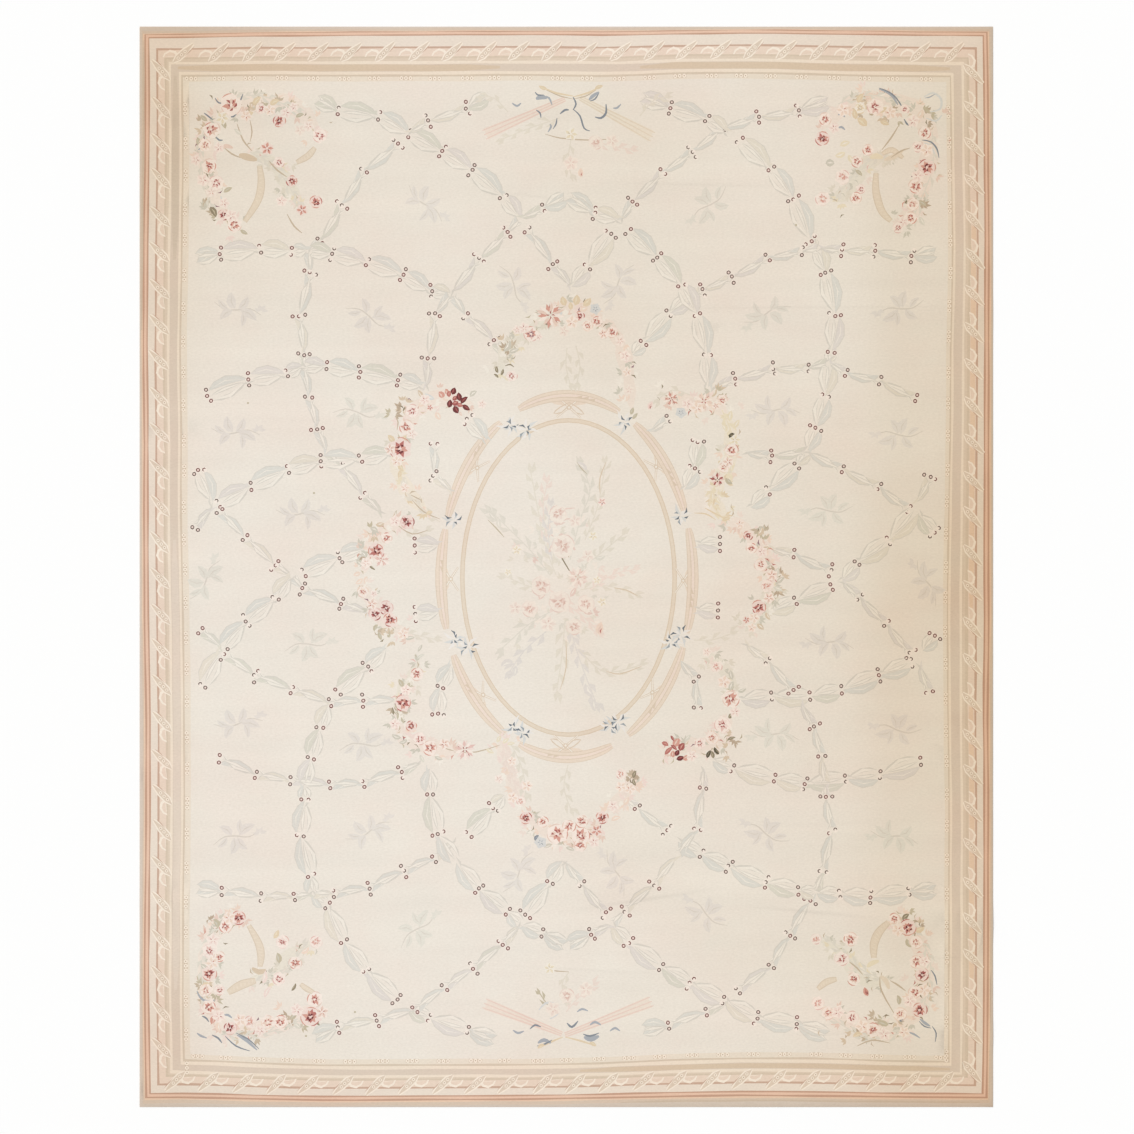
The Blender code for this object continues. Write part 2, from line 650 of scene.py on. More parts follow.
def draw_medallion(art):
    """The inner ring, the outer ring in its parts, each with a tie, and the bows."""
    ring_part(art, INNER_RING, 0, 360, 0, 4.5, "ring side", 1.0, WHOLE_STEPS)
    ring_part(art, INNER_RING, 0, 360, 0, 2.7, "ring inner", 1.0, WHOLE_STEPS)
    for start, end in RING_PARTS:
        art.next_lot()
        draw_tie(art, (start + end) / 2)
        for line in RING_LINES:
            ring_part(art, OUTER_RING, start, end, line.out, line.width, line.yarn, RING_WAIST)
    for row in KNOTS:
        draw_knot(art, row)


# The garlands of husks. Each is a list of spots in the direction that its husks point: S starts
# with a spray, X crosses another garland, and F crosses one and changes the side of its broad
# leaves. Any other spot has berries across it (kind B), but the last only ends the garland.
# side is 1 where the broad leaves lie on the left.
Garland = namedtuple("Garland", "side spots")
Spot = namedtuple("Spot", "kind x y")


def spots(*rows):
    """A garland's spots, where a plain pair has berries."""
    return [Spot(*row) if len(row) == 3 else Spot("B", *row) for row in rows]


GARLANDS = (
    # Upper left quarter.
    Garland(1, spots(("S", 315, 99.5), (338, 111), (379, 116), (410, 134), (443, 152), (472, 170),
        (503.5, 197), ("F", 520.5, 218), (527, 230), (552.5, 264), (571, 287))),
    Garland(-1, spots(("S", 488, 95), (467, 108), (428, 121), ("X", 408, 133), (398, 144), (363.5, 171),
        (342, 205), (320.5, 241), ("X", 308, 250), (310, 273), (299, 316), (304, 354), ("X", 303, 366),
        (309, 397), (317, 429), ("X", 326.5, 452), (340, 465), (363, 495), (382, 514))),
    Garland(1, spots(("S", 194.5, 258.5), (221, 254), (260, 249), (291.7, 251), ("X", 308, 250),
        (333, 254), (366.5, 262), (404, 275), (431, 291), ("F", 451, 293.5), (465, 315), (494.5, 341),
        (503, 358))),
    Garland(-1, spots(("S", 567, 196), (543.5, 208), ("X", 520, 218), (507.5, 232), (478.5, 259),
        ("X", 451, 293), (434.5, 314.5), (427.7, 358.5), (426, 388))),
    Garland(-1, spots((434, 444.5), (433.7, 476), (452, 492))),
    Garland(1, spots((208, 396), (249.5, 379), (286, 374), ("X", 303, 366), (326.5, 366), (359, 372),
        (399, 380), (423, 386))),
    Garland(1, spots((199, 471), (213, 503))),
    Garland(-1, spots((195, 529), (213, 507))),
    Garland(1, spots((219, 504), (251, 486), (288.5, 469), (321.7, 461), (360.5, 459), (392, 453))),
    Garland(-1, spots((219, 511), (245, 538), (274.5, 565), ("X", 291, 576), (303, 589), (342, 604),
        (368, 613))),
    Garland(1, spots((468, 419.5), (487, 441))),
    # Lower left quarter.
    Garland(-1, spots((200, 630), (222, 648))),
    Garland(1, spots((203, 685), (222, 650))),
    Garland(1, spots(("X", 222, 649), (246, 621), (276, 598), ("X", 291, 576), (303, 573),
        (339.7, 557.5), (368, 547))),
    Garland(-1, spots((225, 655), (255, 676), (292.5, 690), (330, 703), (363.5, 701), (398, 701))),
    Garland(-1, spots((219, 759), (256, 775), (290, 781), (330.5, 785), (363, 784), (401.5, 772),
        (421, 763))),
    Garland(1, spots(("S", 497, 1040), (467.5, 1029.5), (429.5, 1018), ("X", 408, 1008), (397, 999),
        (366, 970.5), (344, 941.5), (326.5, 905), ("X", 312, 894), (311, 875), (301, 835), (305, 800),
        ("X", 304, 785), (311, 758), (320, 728), ("X", 329, 704), (338, 692), (367, 667), (387, 648))),
    Garland(-1, spots(("S", 312.5, 1039), (338.7, 1027), (377.5, 1020.6), (415.5, 1010), (444.5, 988),
        (473, 969), (503, 944.5), ("F", 521, 925), (525, 914.5), (550, 882), (563, 861))),
    Garland(-1, spots(("S", 195.4, 889), (222, 891), (261.7, 897), (293.5, 897), ("X", 312, 894),
        (334, 894), (369, 888.5), (404.5, 871), (434.8, 858.6), ("F", 456, 841), (469, 834), (493, 808),
        (505, 795))),
    Garland(1, spots(("S", 567, 946), (543, 933), ("X", 521, 925), (507, 911), (479, 889),
        ("X", 456, 862), (438, 834), (430, 793.5), (430, 768))),
    Garland(1, spots((438, 714), (440.5, 686.5), (452, 664))),
    # Upper right quarter.
    Garland(-1, spots(("S", 830.5, 101), (798, 111), (758.6, 117), (722, 128), (692.5, 151.5),
        (662.5, 172.5), (633, 201), ("F", 620.5, 220), (611, 234), (587.3, 266.5), (571, 287))),
    Garland(1, spots(("S", 640, 97), (670, 108), (707.5, 119), ("X", 728, 133), (739.5, 140),
        (771, 169), (793.5, 199), (810.7, 241), ("X", 817, 248), (825.7, 272.5), (835, 315),
        (831.5, 352), ("X", 829, 362), (825, 396.5), (816, 427.5), ("X", 807, 451), (797.3, 465),
        (768, 491), (750, 508))),
    Garland(-1, spots(("S", 938, 252), (912.5, 256), (874, 250.5), (843, 250), ("X", 820, 248),
        (802.4, 251), (767.5, 258), (732, 277), (702, 290), ("F", 688, 298), (669, 313.5),
        (643.5, 342.7), (632, 355))),
    Garland(1, spots(("S", 567, 196), (594, 213), ("X", 620, 220), (628, 231), (657, 257), (681.7, 285),
        (697.5, 315), (707, 355), (708, 388))),
    Garland(1, spots((698, 441), (694.5, 468.5), (684, 490))),
    Garland(-1, spots((668, 418.5), (650, 432))),
    Garland(-1, spots((916.5, 398), (880, 380.5), (845.8, 373), ("X", 829, 362), (807.6, 368),
        (773.3, 368.5), (734.5, 379), (712, 388))),
    Garland(-1, spots((930, 477), (916, 503))),
    Garland(1, spots((934.5, 533), (918.6, 514))),
    Garland(-1, spots((908.5, 509), (879, 486.5), (842.7, 469), ("X", 807, 451), (771.7, 456),
        (745, 452))),
    Garland(1, spots(("X", 916, 509), (888.5, 540.5), (857, 563), ("X", 842, 581), (831.6, 587),
        (795.7, 600.5), (770, 612))),
    # Lower right quarter.
    Garland(1, spots((935, 636), (922, 651))),
    Garland(-1, spots((929.7, 692), (919.6, 664.5))),
    Garland(-1, spots((910.5, 653), (887, 624), (859.5, 596.5), ("X", 842, 581), (831, 570.5),
        (794.5, 554), (770, 548))),
    Garland(1, spots((911, 663), (879, 675), (841.3, 690), (810.6, 696), (771.4, 696), (740, 700))),
    Garland(1, spots((920.5, 761.5), (880, 775), (845.6, 778.5), (805, 784), (773.7, 778), (733, 768),
        (712, 760))),
    Garland(-1, spots(("S", 641, 1030), (668.3, 1026), (706, 1012), ("X", 728, 1003), (738, 991),
        (771, 967), (789.6, 936), (810, 901.5), ("X", 816, 893), (823, 872.5), (832.5, 831.5),
        (826, 797), ("X", 826, 785), (822, 756.5), (814.3, 726.5), ("X", 801, 703), (793.8, 690.7),
        (769, 661), (745, 643))),
    Garland(1, spots(("S", 830, 1035.6), (796.5, 1023.5), (756.5, 1018), (724, 1000), (690, 983.5),
        (661, 966.5), (628.5, 942.5), ("F", 612, 925), (606.5, 913.5), (582.5, 884), (565, 861))),
    Garland(1, spots(("S", 938, 889), (909, 891.5), (871, 897), (839.7, 894), ("X", 816, 893),
        (798.3, 890.5), (766, 882), (729.3, 866.5), (700.6, 853.5), ("F", 677.6, 841), (667, 830),
        (637.6, 807.5), (625, 797))),
    Garland(-1, spots(("S", 567, 946), (591.7, 934), ("X", 612, 925), (624.5, 911.5), (654.4, 885),
        ("X", 677.6, 856), (697.5, 829.5), (703.4, 789), (704, 768))),
    Garland(-1, spots((697.6, 708.7), (696.5, 679), (680, 660))),
)

# Berries that stand alone in front of pale husks, at the sides of the medallion.
Bunch = namedtuple("Bunch", "x y toward_x toward_y")
BUNCHES = table(
    Bunch,
    (414.7, 545.5, 440, 545), (415.3, 614, 440, 612),
    (720, 544, 697, 544), (718, 610.5, 696, 610),
)

# A crossing with less room than this before the next spot has no husk of its own.
SHORT_GAP = 17.0
LEAF_TINTS = ("blue leaf", "green leaf", "blue leaf", "lavender leaf", "pale leaf")


def draw_berry(art, x, y):
    """A small dark ring round a pale heart, some of them left open."""
    art.disc(x, y, 3.2, "berry halo", 5)
    yarn = "berry" if art.dice.random() < 0.5 else "berry grey"
    turn = art.dice.uniform(0, 360)
    if art.dice.random() < 0.3:
        art.arc(x, y, 1.7, turn, 235, 1.2, yarn, 4)
        return
    art.disc(x, y, 2.3, yarn, 7, 0.92, turn)
    art.disc(x, y, 1.3, "berry heart", 4)


def draw_berries(art, place):
    """Two or three berries in a row across the garland."""
    count = 3 if art.dice.random() < 0.42 else 2
    for i in range(count):
        across = (i - 0.5 * (count - 1)) * (6.8 if count == 2 else 5.9)
        spot = place.at(art.dice.uniform(-1.4, 1.4), across + art.dice.uniform(-0.6, 0.6))
        draw_berry(art, *spot)


def draw_outlined(art, base, tip, width, bend):
    """A slender pale leaf with a faint line round it."""
    art.blade(base, tip, width, "leaf line", bend)
    art.stroke(base, tip, width - 1.4, "leaf light", bend)


def draw_husk(art, start, end, side, tint):
    """One husk: a broad leaf on its side, slender ones beside it, all closing at the end."""
    place, length = between(start, end, side)
    at = place.at
    broad = 8.4 * min(1.0, length / 24.0)
    art.blade(at(1.0, 4.6), at(length * 0.98, 0.2), broad + 0.9, "leaf line", 0.13)
    art.blade(at(1.8, 4.7), at(length * 0.95, 0.5), broad - 0.7, tint, 0.13)
    art.stroke(at(length * 0.12, 5.6), at(length * 0.9, 1.6), 0.9, "leaf light", 0.12)
    draw_outlined(art, at(2.0, -5.4), at(length * 0.93, -0.4), 4.6, -0.12)
    draw_outlined(art, at(2.5, -0.8), at(length * 0.84, -0.6), 3.8, 0.03)
    if art.dice.random() < 0.6:
        art.stroke(at(length * 0.74, 0.6), at(length * 1.14, 3.6), 2.6, tint, 0.1)
    if art.dice.random() < 0.6:
        art.stroke(at(length * 0.78, -0.4), at(length * 1.12, -3.4), 2.2, "leaf line", -0.1)


def draw_garland(art, garland):
    """A husk from each spot to the next, then the berries, which lie on top."""
    side = garland.side
    steps = [(row.kind, (row.x, row.y), (after.x, after.y))
             for row, after in zip(garland.spots, garland.spots[1:])]
    for kind, here, ahead in steps:
        if kind == "F":
            side = -side
        art.next_lot()
        tint = art.dice.choice(LEAF_TINTS)
        if kind in ("S", "B") or math.dist(here, ahead) > SHORT_GAP:
            draw_husk(art, here, ahead, side, tint)
        if kind == "S":
            draw_husk(art, here, ahead, -side, tint)
    for kind, here, ahead in steps:
        if kind == "B":
            draw_berries(art, Place(*here, heading(here, ahead)))


def draw_garlands(art):
    """The garlands, and then the bunches of three berries."""
    for garland in GARLANDS:
        draw_garland(art, garland)
    for row in BUNCHES:
        here, ahead = (row.x, row.y), (row.toward_x, row.toward_y)
        draw_husk(art, here, ahead, 1, "lavender leaf")
        place = Place(*here, heading(here, ahead))
        for across in (-7.0, 0.0, 7.0):
            draw_berry(art, *place.at(0, across))


# The very pale sprigs scattered over the field. flip is -1 for a mirrored one.
Sprig = namedtuple("Sprig", "x y turn flip")
SPRIGS = table(
    Sprig,
    (237, 310, -8, 1), (369, 316, -30, -1), (235, 433, 0, 1), (357, 412, -10, -1), (300, 514, 2, 1),
    (206, 581, 60, 1), (308, 644, 6, -1), (238, 724, 12, 1), (363, 744, 4, -1), (236, 836, 10, -1),
    (369, 832, 28, 1), (424, 204, -40, 1), (514, 285, -64, -1), (417, 929, 38, -1), (519, 873, 62, 1),
    (618, 283, 240, 1), (710, 205, 218, -1), (767, 313, 206, 1), (901, 309, 190, -1),
    (776, 410, 184, 1), (899, 435, 178, -1), (829, 511, 180, -1), (928, 583, 120, 1),
    (830, 642, 176, 1), (897, 730, 170, -1), (775, 734, 178, 1), (766, 834, 152, -1),
    (895, 836, 172, 1), (617, 873, 118, 1), (706, 914, 140, -1),
)


# A sprig's leaves in its own frame.
SprigLeaf = namedtuple("SprigLeaf", "base tip width bend")
SPRIG_LEAVES = table(
    SprigLeaf,
    ((-2, 1), (-8, 17), 9.6, 0.14), ((1, 1), (9, 15), 8.0, -0.12), ((3, 0), (21, -8), 8.8, 0.12),
    ((-4, -1), (-15, -12), 8.0, -0.14), ((-9, 0), (-20, 8), 5.6, 0.1), ((6, -1), (7, -16), 6.0, 0.1),
)


def draw_sprig(art, row):
    """A curved stem with six veined leaves, and a small flower at its end."""
    at = Place(row.x, row.y, row.turn, 1.0, row.flip).at
    art.next_lot()
    tint = art.dice.choice(("sprig", "sprig lilac"))
    art.line([at(-24, 5), at(-12, -1), at(0, 0), at(13, 3), at(25, -2)], 1.4, "sprig line")
    for leaf in SPRIG_LEAVES:
        base, tip = at(*leaf.base), at(*leaf.tip)
        art.blade(base, tip, leaf.width, tint, leaf.bend)
        art.stroke(base, tip, 1.1, "sprig line", leaf.bend)
    for turn in (10, 60, 110, 160):
        petal = Place(*at(24, 2), row.turn + turn)
        art.stroke(petal.at(0.5, 0), petal.at(7.5, 0), 4.0, tint, 0.1)


# The flowers' wools: rim, petals, the lines of shade, and the heart.
BLOOMS = {
    "coral": ("petal light", "dull coral", "coral", "deep red"),
    "pink": ("petal light", "pale pink", "pink", "deep red"),
    "red": ("pale pink", "coral", "red", "maroon"),
    "maroon": ("pale pink", "pink", "deep red", "maroon"),
    "pale": ("petal light", "dull pink", "pink", "coral"),
    "peach": ("petal light", "peach", "dull coral", "red"),
    "violet": ("petal light", "pink", "coral", "violet"),
    "faint": ("faint rim", "faint petal", "faint shade", "faint heart"),
    "yellow": ("leaf light", "yellow", "ochre", "stem"),
    "slate": ("light blue", "light blue", "blue", "deep blue"),
}

# form is rose, star (five petals), daisy (many) or bud.
Flower = namedtuple("Flower", "x y radius form bloom")
FLOWERS = table(
    Flower,
    # The festoon above the medallion.
    (511.6, 376, 6, "rose", "pink"), (531, 334, 8, "rose", "violet"), (517, 330, 5, "star", "pale"),
    (539, 337, 4, "star", "pink"), (550.6, 315, 14, "daisy", "coral"), (580, 316, 5, "rose", "red"),
    (597, 321.4, 6, "rose", "coral"), (603, 334, 5, "star", "coral"), (612, 332, 6, "rose", "coral"),
    (620, 341, 6, "star", "pale"), (651, 406, 5, "bud", "pink"), (572, 322, 7, "star", "peach"),
    # Upper left.
    (482, 404, 5, "star", "pale"), (406, 427.5, 8, "rose", "coral"), (400, 449, 12, "rose", "red"),
    (430, 407.6, 3.5, "star", "red"), (412, 411, 7, "rose", "pink"),
    # Left.
    (407, 522, 8, "rose", "maroon"), (387, 538, 6, "rose", "coral"), (376, 551, 9, "rose", "red"),
    (382, 560, 8, "daisy", "pale"), (374, 594, 4, "star", "pink"), (386, 608, 8, "rose", "maroon"),
    (375, 614, 7, "rose", "maroon"), (390, 620, 8, "rose", "red"),
    # Lower left.
    (417, 674, 7, "rose", "coral"), (403, 703, 9, "rose", "red"), (411, 726, 6, "rose", "red"),
    (430, 748, 8, "rose", "coral"), (465, 749.5, 11, "daisy", "pink"), (512, 761, 5, "star", "peach"),
    (499, 779, 5, "star", "pale"), (527, 786, 6, "star", "peach"), (512.5, 797.6, 6, "star", "peach"),
    (520.7, 801, 5, "rose", "pale"),
    # Below.
    (525.7, 818, 7, "rose", "red"), (557, 834, 11, "rose", "coral"), (581, 835.8, 10, "rose", "coral"),
    (580.4, 845, 7, "rose", "coral"), (582, 821, 7, "rose", "coral"), (602, 817.5, 7, "rose", "red"),
    (596.5, 830.8, 6, "star", "red"), (621, 774, 6, "rose", "pale"), (621, 786.8, 6, "star", "peach"),
    (543, 822, 6, "rose", "coral"),
    # Lower right.
    (700, 743, 6, "rose", "pink"), (722.4, 724.7, 9, "rose", "pink"), (730.7, 699, 10, "rose", "coral"),
    (716.6, 666.6, 6, "rose", "pale"), (707, 652, 5, "star", "pale"),
    # Right.
    (748, 535.5, 5, "rose", "red"), (751.4, 548, 6, "rose", "coral"),
    (760.5, 564.6, 7, "rose", "peach"), (767, 586, 7, "rose", "pale"), (758.9, 607.7, 8, "rose", "red"),
    (746.4, 620, 4, "star", "red"), (752, 627.6, 5, "star", "peach"), (772, 575, 6, "star", "coral"),
    # Upper right.
    (671, 399.3, 8, "daisy", "coral"), (704, 401, 10, "daisy", "peach"), (697, 408, 7, "star", "peach"),
    (715.8, 406, 4, "star", "coral"), (731.5, 450, 7, "rose", "coral"),
    (724, 467.3, 6, "rose", "peach"), (717.4, 479.8, 8, "daisy", "maroon"),
    # The wreath in the upper left corner.
    (231, 105, 12, "rose", "coral"), (261, 109, 6, "rose", "pink"), (293.7, 107, 5, "star", "pink"),
    (279, 121, 7, "rose", "red"), (308.5, 126, 6, "star", "pale"), (319.6, 135.6, 8, "rose", "pink"),
    (267, 148.5, 7, "star", "red"), (279, 162.4, 6, "rose", "pink"), (292, 181, 6, "rose", "red"),
    (281.7, 201, 6, "star", "pink"), (316, 202, 7, "rose", "red"), (211.4, 130, 9, "rose", "coral"),
    (218.8, 147.6, 6, "star", "pink"), (209.5, 166, 8, "rose", "coral"), (216, 183, 8, "rose", "pink"),
    (211.4, 192, 6, "star", "pale"), (224, 203, 6, "star", "pink"), (223.4, 215, 6, "rose", "maroon"),
    (234.5, 225, 8, "rose", "coral"), (302, 210, 6, "star", "red"), (196, 160, 6, "star", "pink"),
    (246, 116, 6, "star", "peach"),
    # The upper right corner.
    (875, 107, 9, "rose", "pink"), (904.7, 109, 5, "rose", "pink"), (825, 119.5, 7, "rose", "coral"),
    (822.4, 138.6, 8, "rose", "red"), (868, 150, 6, "rose", "coral"), (857, 161.6, 6, "rose", "coral"),
    (842.5, 177, 8, "rose", "pale"), (856, 198, 6, "rose", "coral"), (860.7, 189, 5, "rose", "pink"),
    (822.4, 199, 8, "rose", "pale"), (924.8, 133, 7, "rose", "coral"), (918, 147, 6, "rose", "pink"),
    (926.7, 167.3, 9, "rose", "red"), (916, 186.4, 8, "rose", "coral"),
    (910.4, 218, 7, "rose", "coral"), (898, 227.6, 6, "rose", "pink"),
    # The lower left corner.
    (238.5, 917.7, 8, "rose", "red"), (225.6, 926.3, 7, "rose", "coral"), (210, 951, 8, "rose", "pink"),
    (219.5, 957, 6, "rose", "coral"), (209, 973.7, 8, "rose", "red"), (219.5, 990, 6, "rose", "pink"),
    (209, 1007, 8, "rose", "coral"), (230, 1028, 7, "rose", "maroon"), (250.5, 1022, 7, "rose", "pale"),
    (260, 1030.5, 6, "star", "pink"), (280.7, 1022, 8, "rose", "coral"),
    (310.8, 1016.7, 11, "rose", "red"), (315, 999.5, 8, "rose", "coral"),
    (279, 978.8, 7, "rose", "pink"), (295.3, 963.3, 7, "rose", "coral"),
    (282.4, 941.8, 7, "rose", "pink"), (316, 941.8, 7, "rose", "pale"),
    # The lower right corner.
    (894.5, 918.6, 6, "rose", "coral"), (907.4, 927.2, 9, "rose", "red"),
    (850.5, 939.2, 8, "rose", "coral"), (816, 939.2, 6, "rose", "pale"),
    (841.9, 959, 8, "rose", "pink"), (854, 978.8, 7, "rose", "coral"), (866.9, 991.7, 5, "bud", "red"),
    (916, 961.6, 7, "rose", "coral"), (924.6, 961.6, 6, "star", "pink"),
    (922, 974.5, 7, "rose", "maroon"), (915, 992.6, 7, "rose", "coral"),
    (919.4, 1009.8, 8, "rose", "red"), (903.9, 1032, 6, "star", "peach"),
    (872.9, 1029.6, 8, "rose", "coral"), (852.3, 1017.6, 7, "rose", "pink"),
    (817.8, 1003, 7, "rose", "pale"), (828, 1013, 7, "rose", "peach"),
    # The bouquet in the medallion.
    (558, 514, 10, "rose", "faint"), (575, 521, 7, "star", "faint"), (563, 546, 13, "rose", "faint"),
    (541, 586, 11, "rose", "faint"), (578, 577, 11, "daisy", "faint"), (586, 604, 9, "rose", "faint"),
    (530, 609, 9, "rose", "faint"), (515, 608, 7, "star", "faint"), (559, 602, 12, "rose", "faint"),
    (548, 624, 9, "star", "faint"), (574, 627, 9, "rose", "faint"), (588, 556, 7, "star", "faint"),
    (601, 629, 7, "bud", "peach"), (593, 536, 5, "star", "yellow"), (517, 550, 5, "star", "yellow"),
    (508, 572, 4, "star", "yellow"), (597, 580, 4.5, "star", "yellow"), (602, 602, 5, "star", "yellow"),
    (602, 502, 4.5, "star", "violet"),
    # The tools and flowers at head and foot.
    (571, 134, 7, "star", "yellow"), (596, 143, 8, "rose", "faint"), (612, 141, 7, "star", "faint"),
    (571, 163, 8, "star", "faint"), (581.6, 173, 5, "bud", "peach"),
    (549.6, 968.4, 6, "star", "yellow"), (567, 996, 8, "rose", "faint"),
    (553, 1009, 8, "star", "faint"), (586, 989, 8, "star", "faint"),
    (540.6, 842.4, 6.5, "star", "slate"), (595.3, 309, 6, "star", "slate"),
    (681, 412.6, 6, "star", "slate"),
    # More along the festoons.
    (564, 331, 6, "star", "faint"), (588, 326, 6, "rose", "peach"), (625, 356, 6, "star", "pink"),
    (627, 372, 5, "star", "peach"), (629, 390, 5, "star", "faint"), (524, 328, 6, "star", "pink"),
    (425, 400, 6, "star", "pink"), (397, 461, 6, "star", "peach"), (412, 434, 6, "star", "pale"),
    (390, 449, 6, "star", "coral"), (405, 488, 5, "star", "peach"), (395, 521, 6, "star", "pink"),
    (366, 563, 6, "star", "pale"), (363, 592, 6, "rose", "peach"), (372, 604, 6, "star", "coral"),
    (403, 634, 6, "star", "peach"), (406, 690, 6, "star", "pink"), (395, 724, 6, "star", "pink"),
    (444, 744, 6, "star", "coral"), (420, 739, 7, "rose", "pink"), (569, 826, 7, "rose", "coral"),
    (594, 842, 6, "star", "pink"), (613, 806, 6, "star", "pink"), (630, 789, 6, "star", "peach"),
    (692, 756, 6, "star", "pink"), (712, 738, 7, "rose", "peach"), (735, 712, 6, "star", "pink"),
    (724, 682, 7, "star", "peach"), (740, 524, 5, "star", "peach"), (762, 552, 6, "star", "pink"),
    (769, 598, 6, "star", "coral"), (754, 618, 6, "star", "peach"), (687, 404, 6, "star", "pink"),
    (722, 400, 6, "rose", "peach"), (735, 440, 6, "star", "yellow"), (728, 462, 6, "star", "coral"),
    # More in the corner wreaths.
    (270, 110, 6, "star", "peach"), (286, 113, 6, "star", "pink"), (222, 118, 7, "star", "yellow"),
    (205, 145, 7, "rose", "peach"), (203, 180, 7, "star", "pink"), (231, 216, 7, "star", "pink"),
    (300, 130, 6, "star", "faint"), (843, 110, 7, "star", "peach"), (860, 108, 6, "rose", "yellow"),
    (890, 113, 7, "star", "peach"), (913, 121, 7, "star", "pink"), (927, 150, 7, "star", "peach"),
    (918, 176, 7, "star", "pink"), (913, 204, 7, "rose", "peach"), (834, 128, 6, "star", "pink"),
    (903, 222, 6, "star", "pink"), (229, 918, 7, "star", "peach"), (213, 940, 7, "star", "pink"),
    (212, 963, 7, "star", "peach"), (206, 990, 7, "rose", "peach"), (219, 1016, 7, "star", "pink"),
    (240, 1020, 7, "star", "peach"), (268, 1022, 8, "rose", "peach"), (297, 1010, 7, "star", "pink"),
    (322, 1012, 7, "star", "coral"), (898, 930, 7, "star", "peach"), (916, 942, 7, "rose", "peach"),
    (924, 990, 7, "star", "peach"), (910, 1001, 7, "star", "pink"), (900, 1014, 7, "rose", "peach"),
    (884, 1034, 7, "star", "pink"), (862, 1026, 7, "star", "peach"), (838, 1012, 7, "star", "pink"),
)


def draw_rose(art, x, y, radius, bloom):
    """A full rose: a ragged rim with thin lines on it, short petals, and dark touches within."""
    rim, petal, shade, heart = BLOOMS[bloom]
    turn = art.dice.uniform(0, 360)
    art.disc(x, y, radius * 1.08, rim, 12, 0.9, turn, 0.2)
    for i in range(3):
        start = turn + 120 * i + art.dice.uniform(-25, 25)
        yarn = (petal, shade, petal)[i]
        art.arc(x, y, radius * art.dice.uniform(0.78, 0.98), start, art.dice.uniform(50, 85), 1.1, yarn)
    for i, place in enumerate(art.around(x, y, turn, 8, 45, 12, radius)):
        tip = place.at(art.dice.uniform(0.48, 0.84), 0.16)
        art.stroke(place.at(0.12, -0.05), tip, radius * 0.38, (petal, shade, shade, petal)[i % 4], 0.12)
    slant = art.dice.uniform(0, 360)
    for spot in art.around(x, y, slant, 5, 72, 20, radius):
        middle = spot.at(art.dice.uniform(0.16, 0.4), 0.0)
        place = Place(*middle, slant + art.dice.uniform(-60, 60), radius)
        half = art.dice.uniform(0.14, 0.27)
        art.stroke(place.at(-half, 0), place.at(half, 0), 0.13 * radius + 0.6, heart, 0.2)


def draw_star(art, x, y, radius, bloom):
    """An open flower of five petals with dark roots."""
    rim, petal, shade, heart = BLOOMS[bloom]
    turn = art.dice.uniform(0, 360)
    art.disc(x, y, radius * 1.05, rim, 10, 0.95, turn, 0.25)
    for i, place in enumerate(art.around(x, y, turn, 5, 72, 9, radius)):
        art.stroke(place.at(0.15, 0), place.at(0.95, 0.05), radius * 0.46, petal, 0.08)
        art.stroke(place.at(0.10, 0.08), place.at(0.5, 0.1), 1.0, (shade, shade, heart)[i % 3])


def draw_daisy(art, x, y, radius, bloom):
    """A flower of many narrow petals round a dark eye."""
    rim, petal, shade, heart = BLOOMS[bloom]
    turn = art.dice.uniform(0, 360)
    for i, place in enumerate(art.around(x, y, turn, 15, 24, 6, radius)):
        reach = art.dice.uniform(0.8, 1.1)
        yarn = (rim, petal, shade)[i % 3]
        art.stroke(place.at(0.22, 0), place.at(reach, 0), radius * 0.3, yarn, 0.04)
        if i % 3 == 1:
            art.stroke(place.at(0.3, 0.12), place.at(0.8, 0.16), 0.9, heart)
    for i in range(4):
        place = Place(x, y, turn + 90 * i, radius)
        art.stroke(place.at(0.05, 0), place.at(0.34, 0.1), 1.3, heart, 0.2)


def draw_bud(art, x, y, radius, bloom):
    """A closed flower, more or less upright."""
    _, petal, shade, heart = BLOOMS[bloom]
    place = Place(x, y, 90 + art.dice.uniform(-30, 30), radius)
    art.blade(place.at(-0.9, 0), place.at(1.0, 0.2), radius * 1.1, petal, 0.06)
    art.stroke(place.at(-0.8, 0.1), place.at(0.7, 0.1), radius * 0.4, shade, 0.1)
    art.stroke(place.at(-0.7, -0.2), place.at(0.2, -0.1), radius * 0.2, heart, 0.2)


FORMS = {"rose": draw_rose, "star": draw_star, "daisy": draw_daisy, "bud": draw_bud}


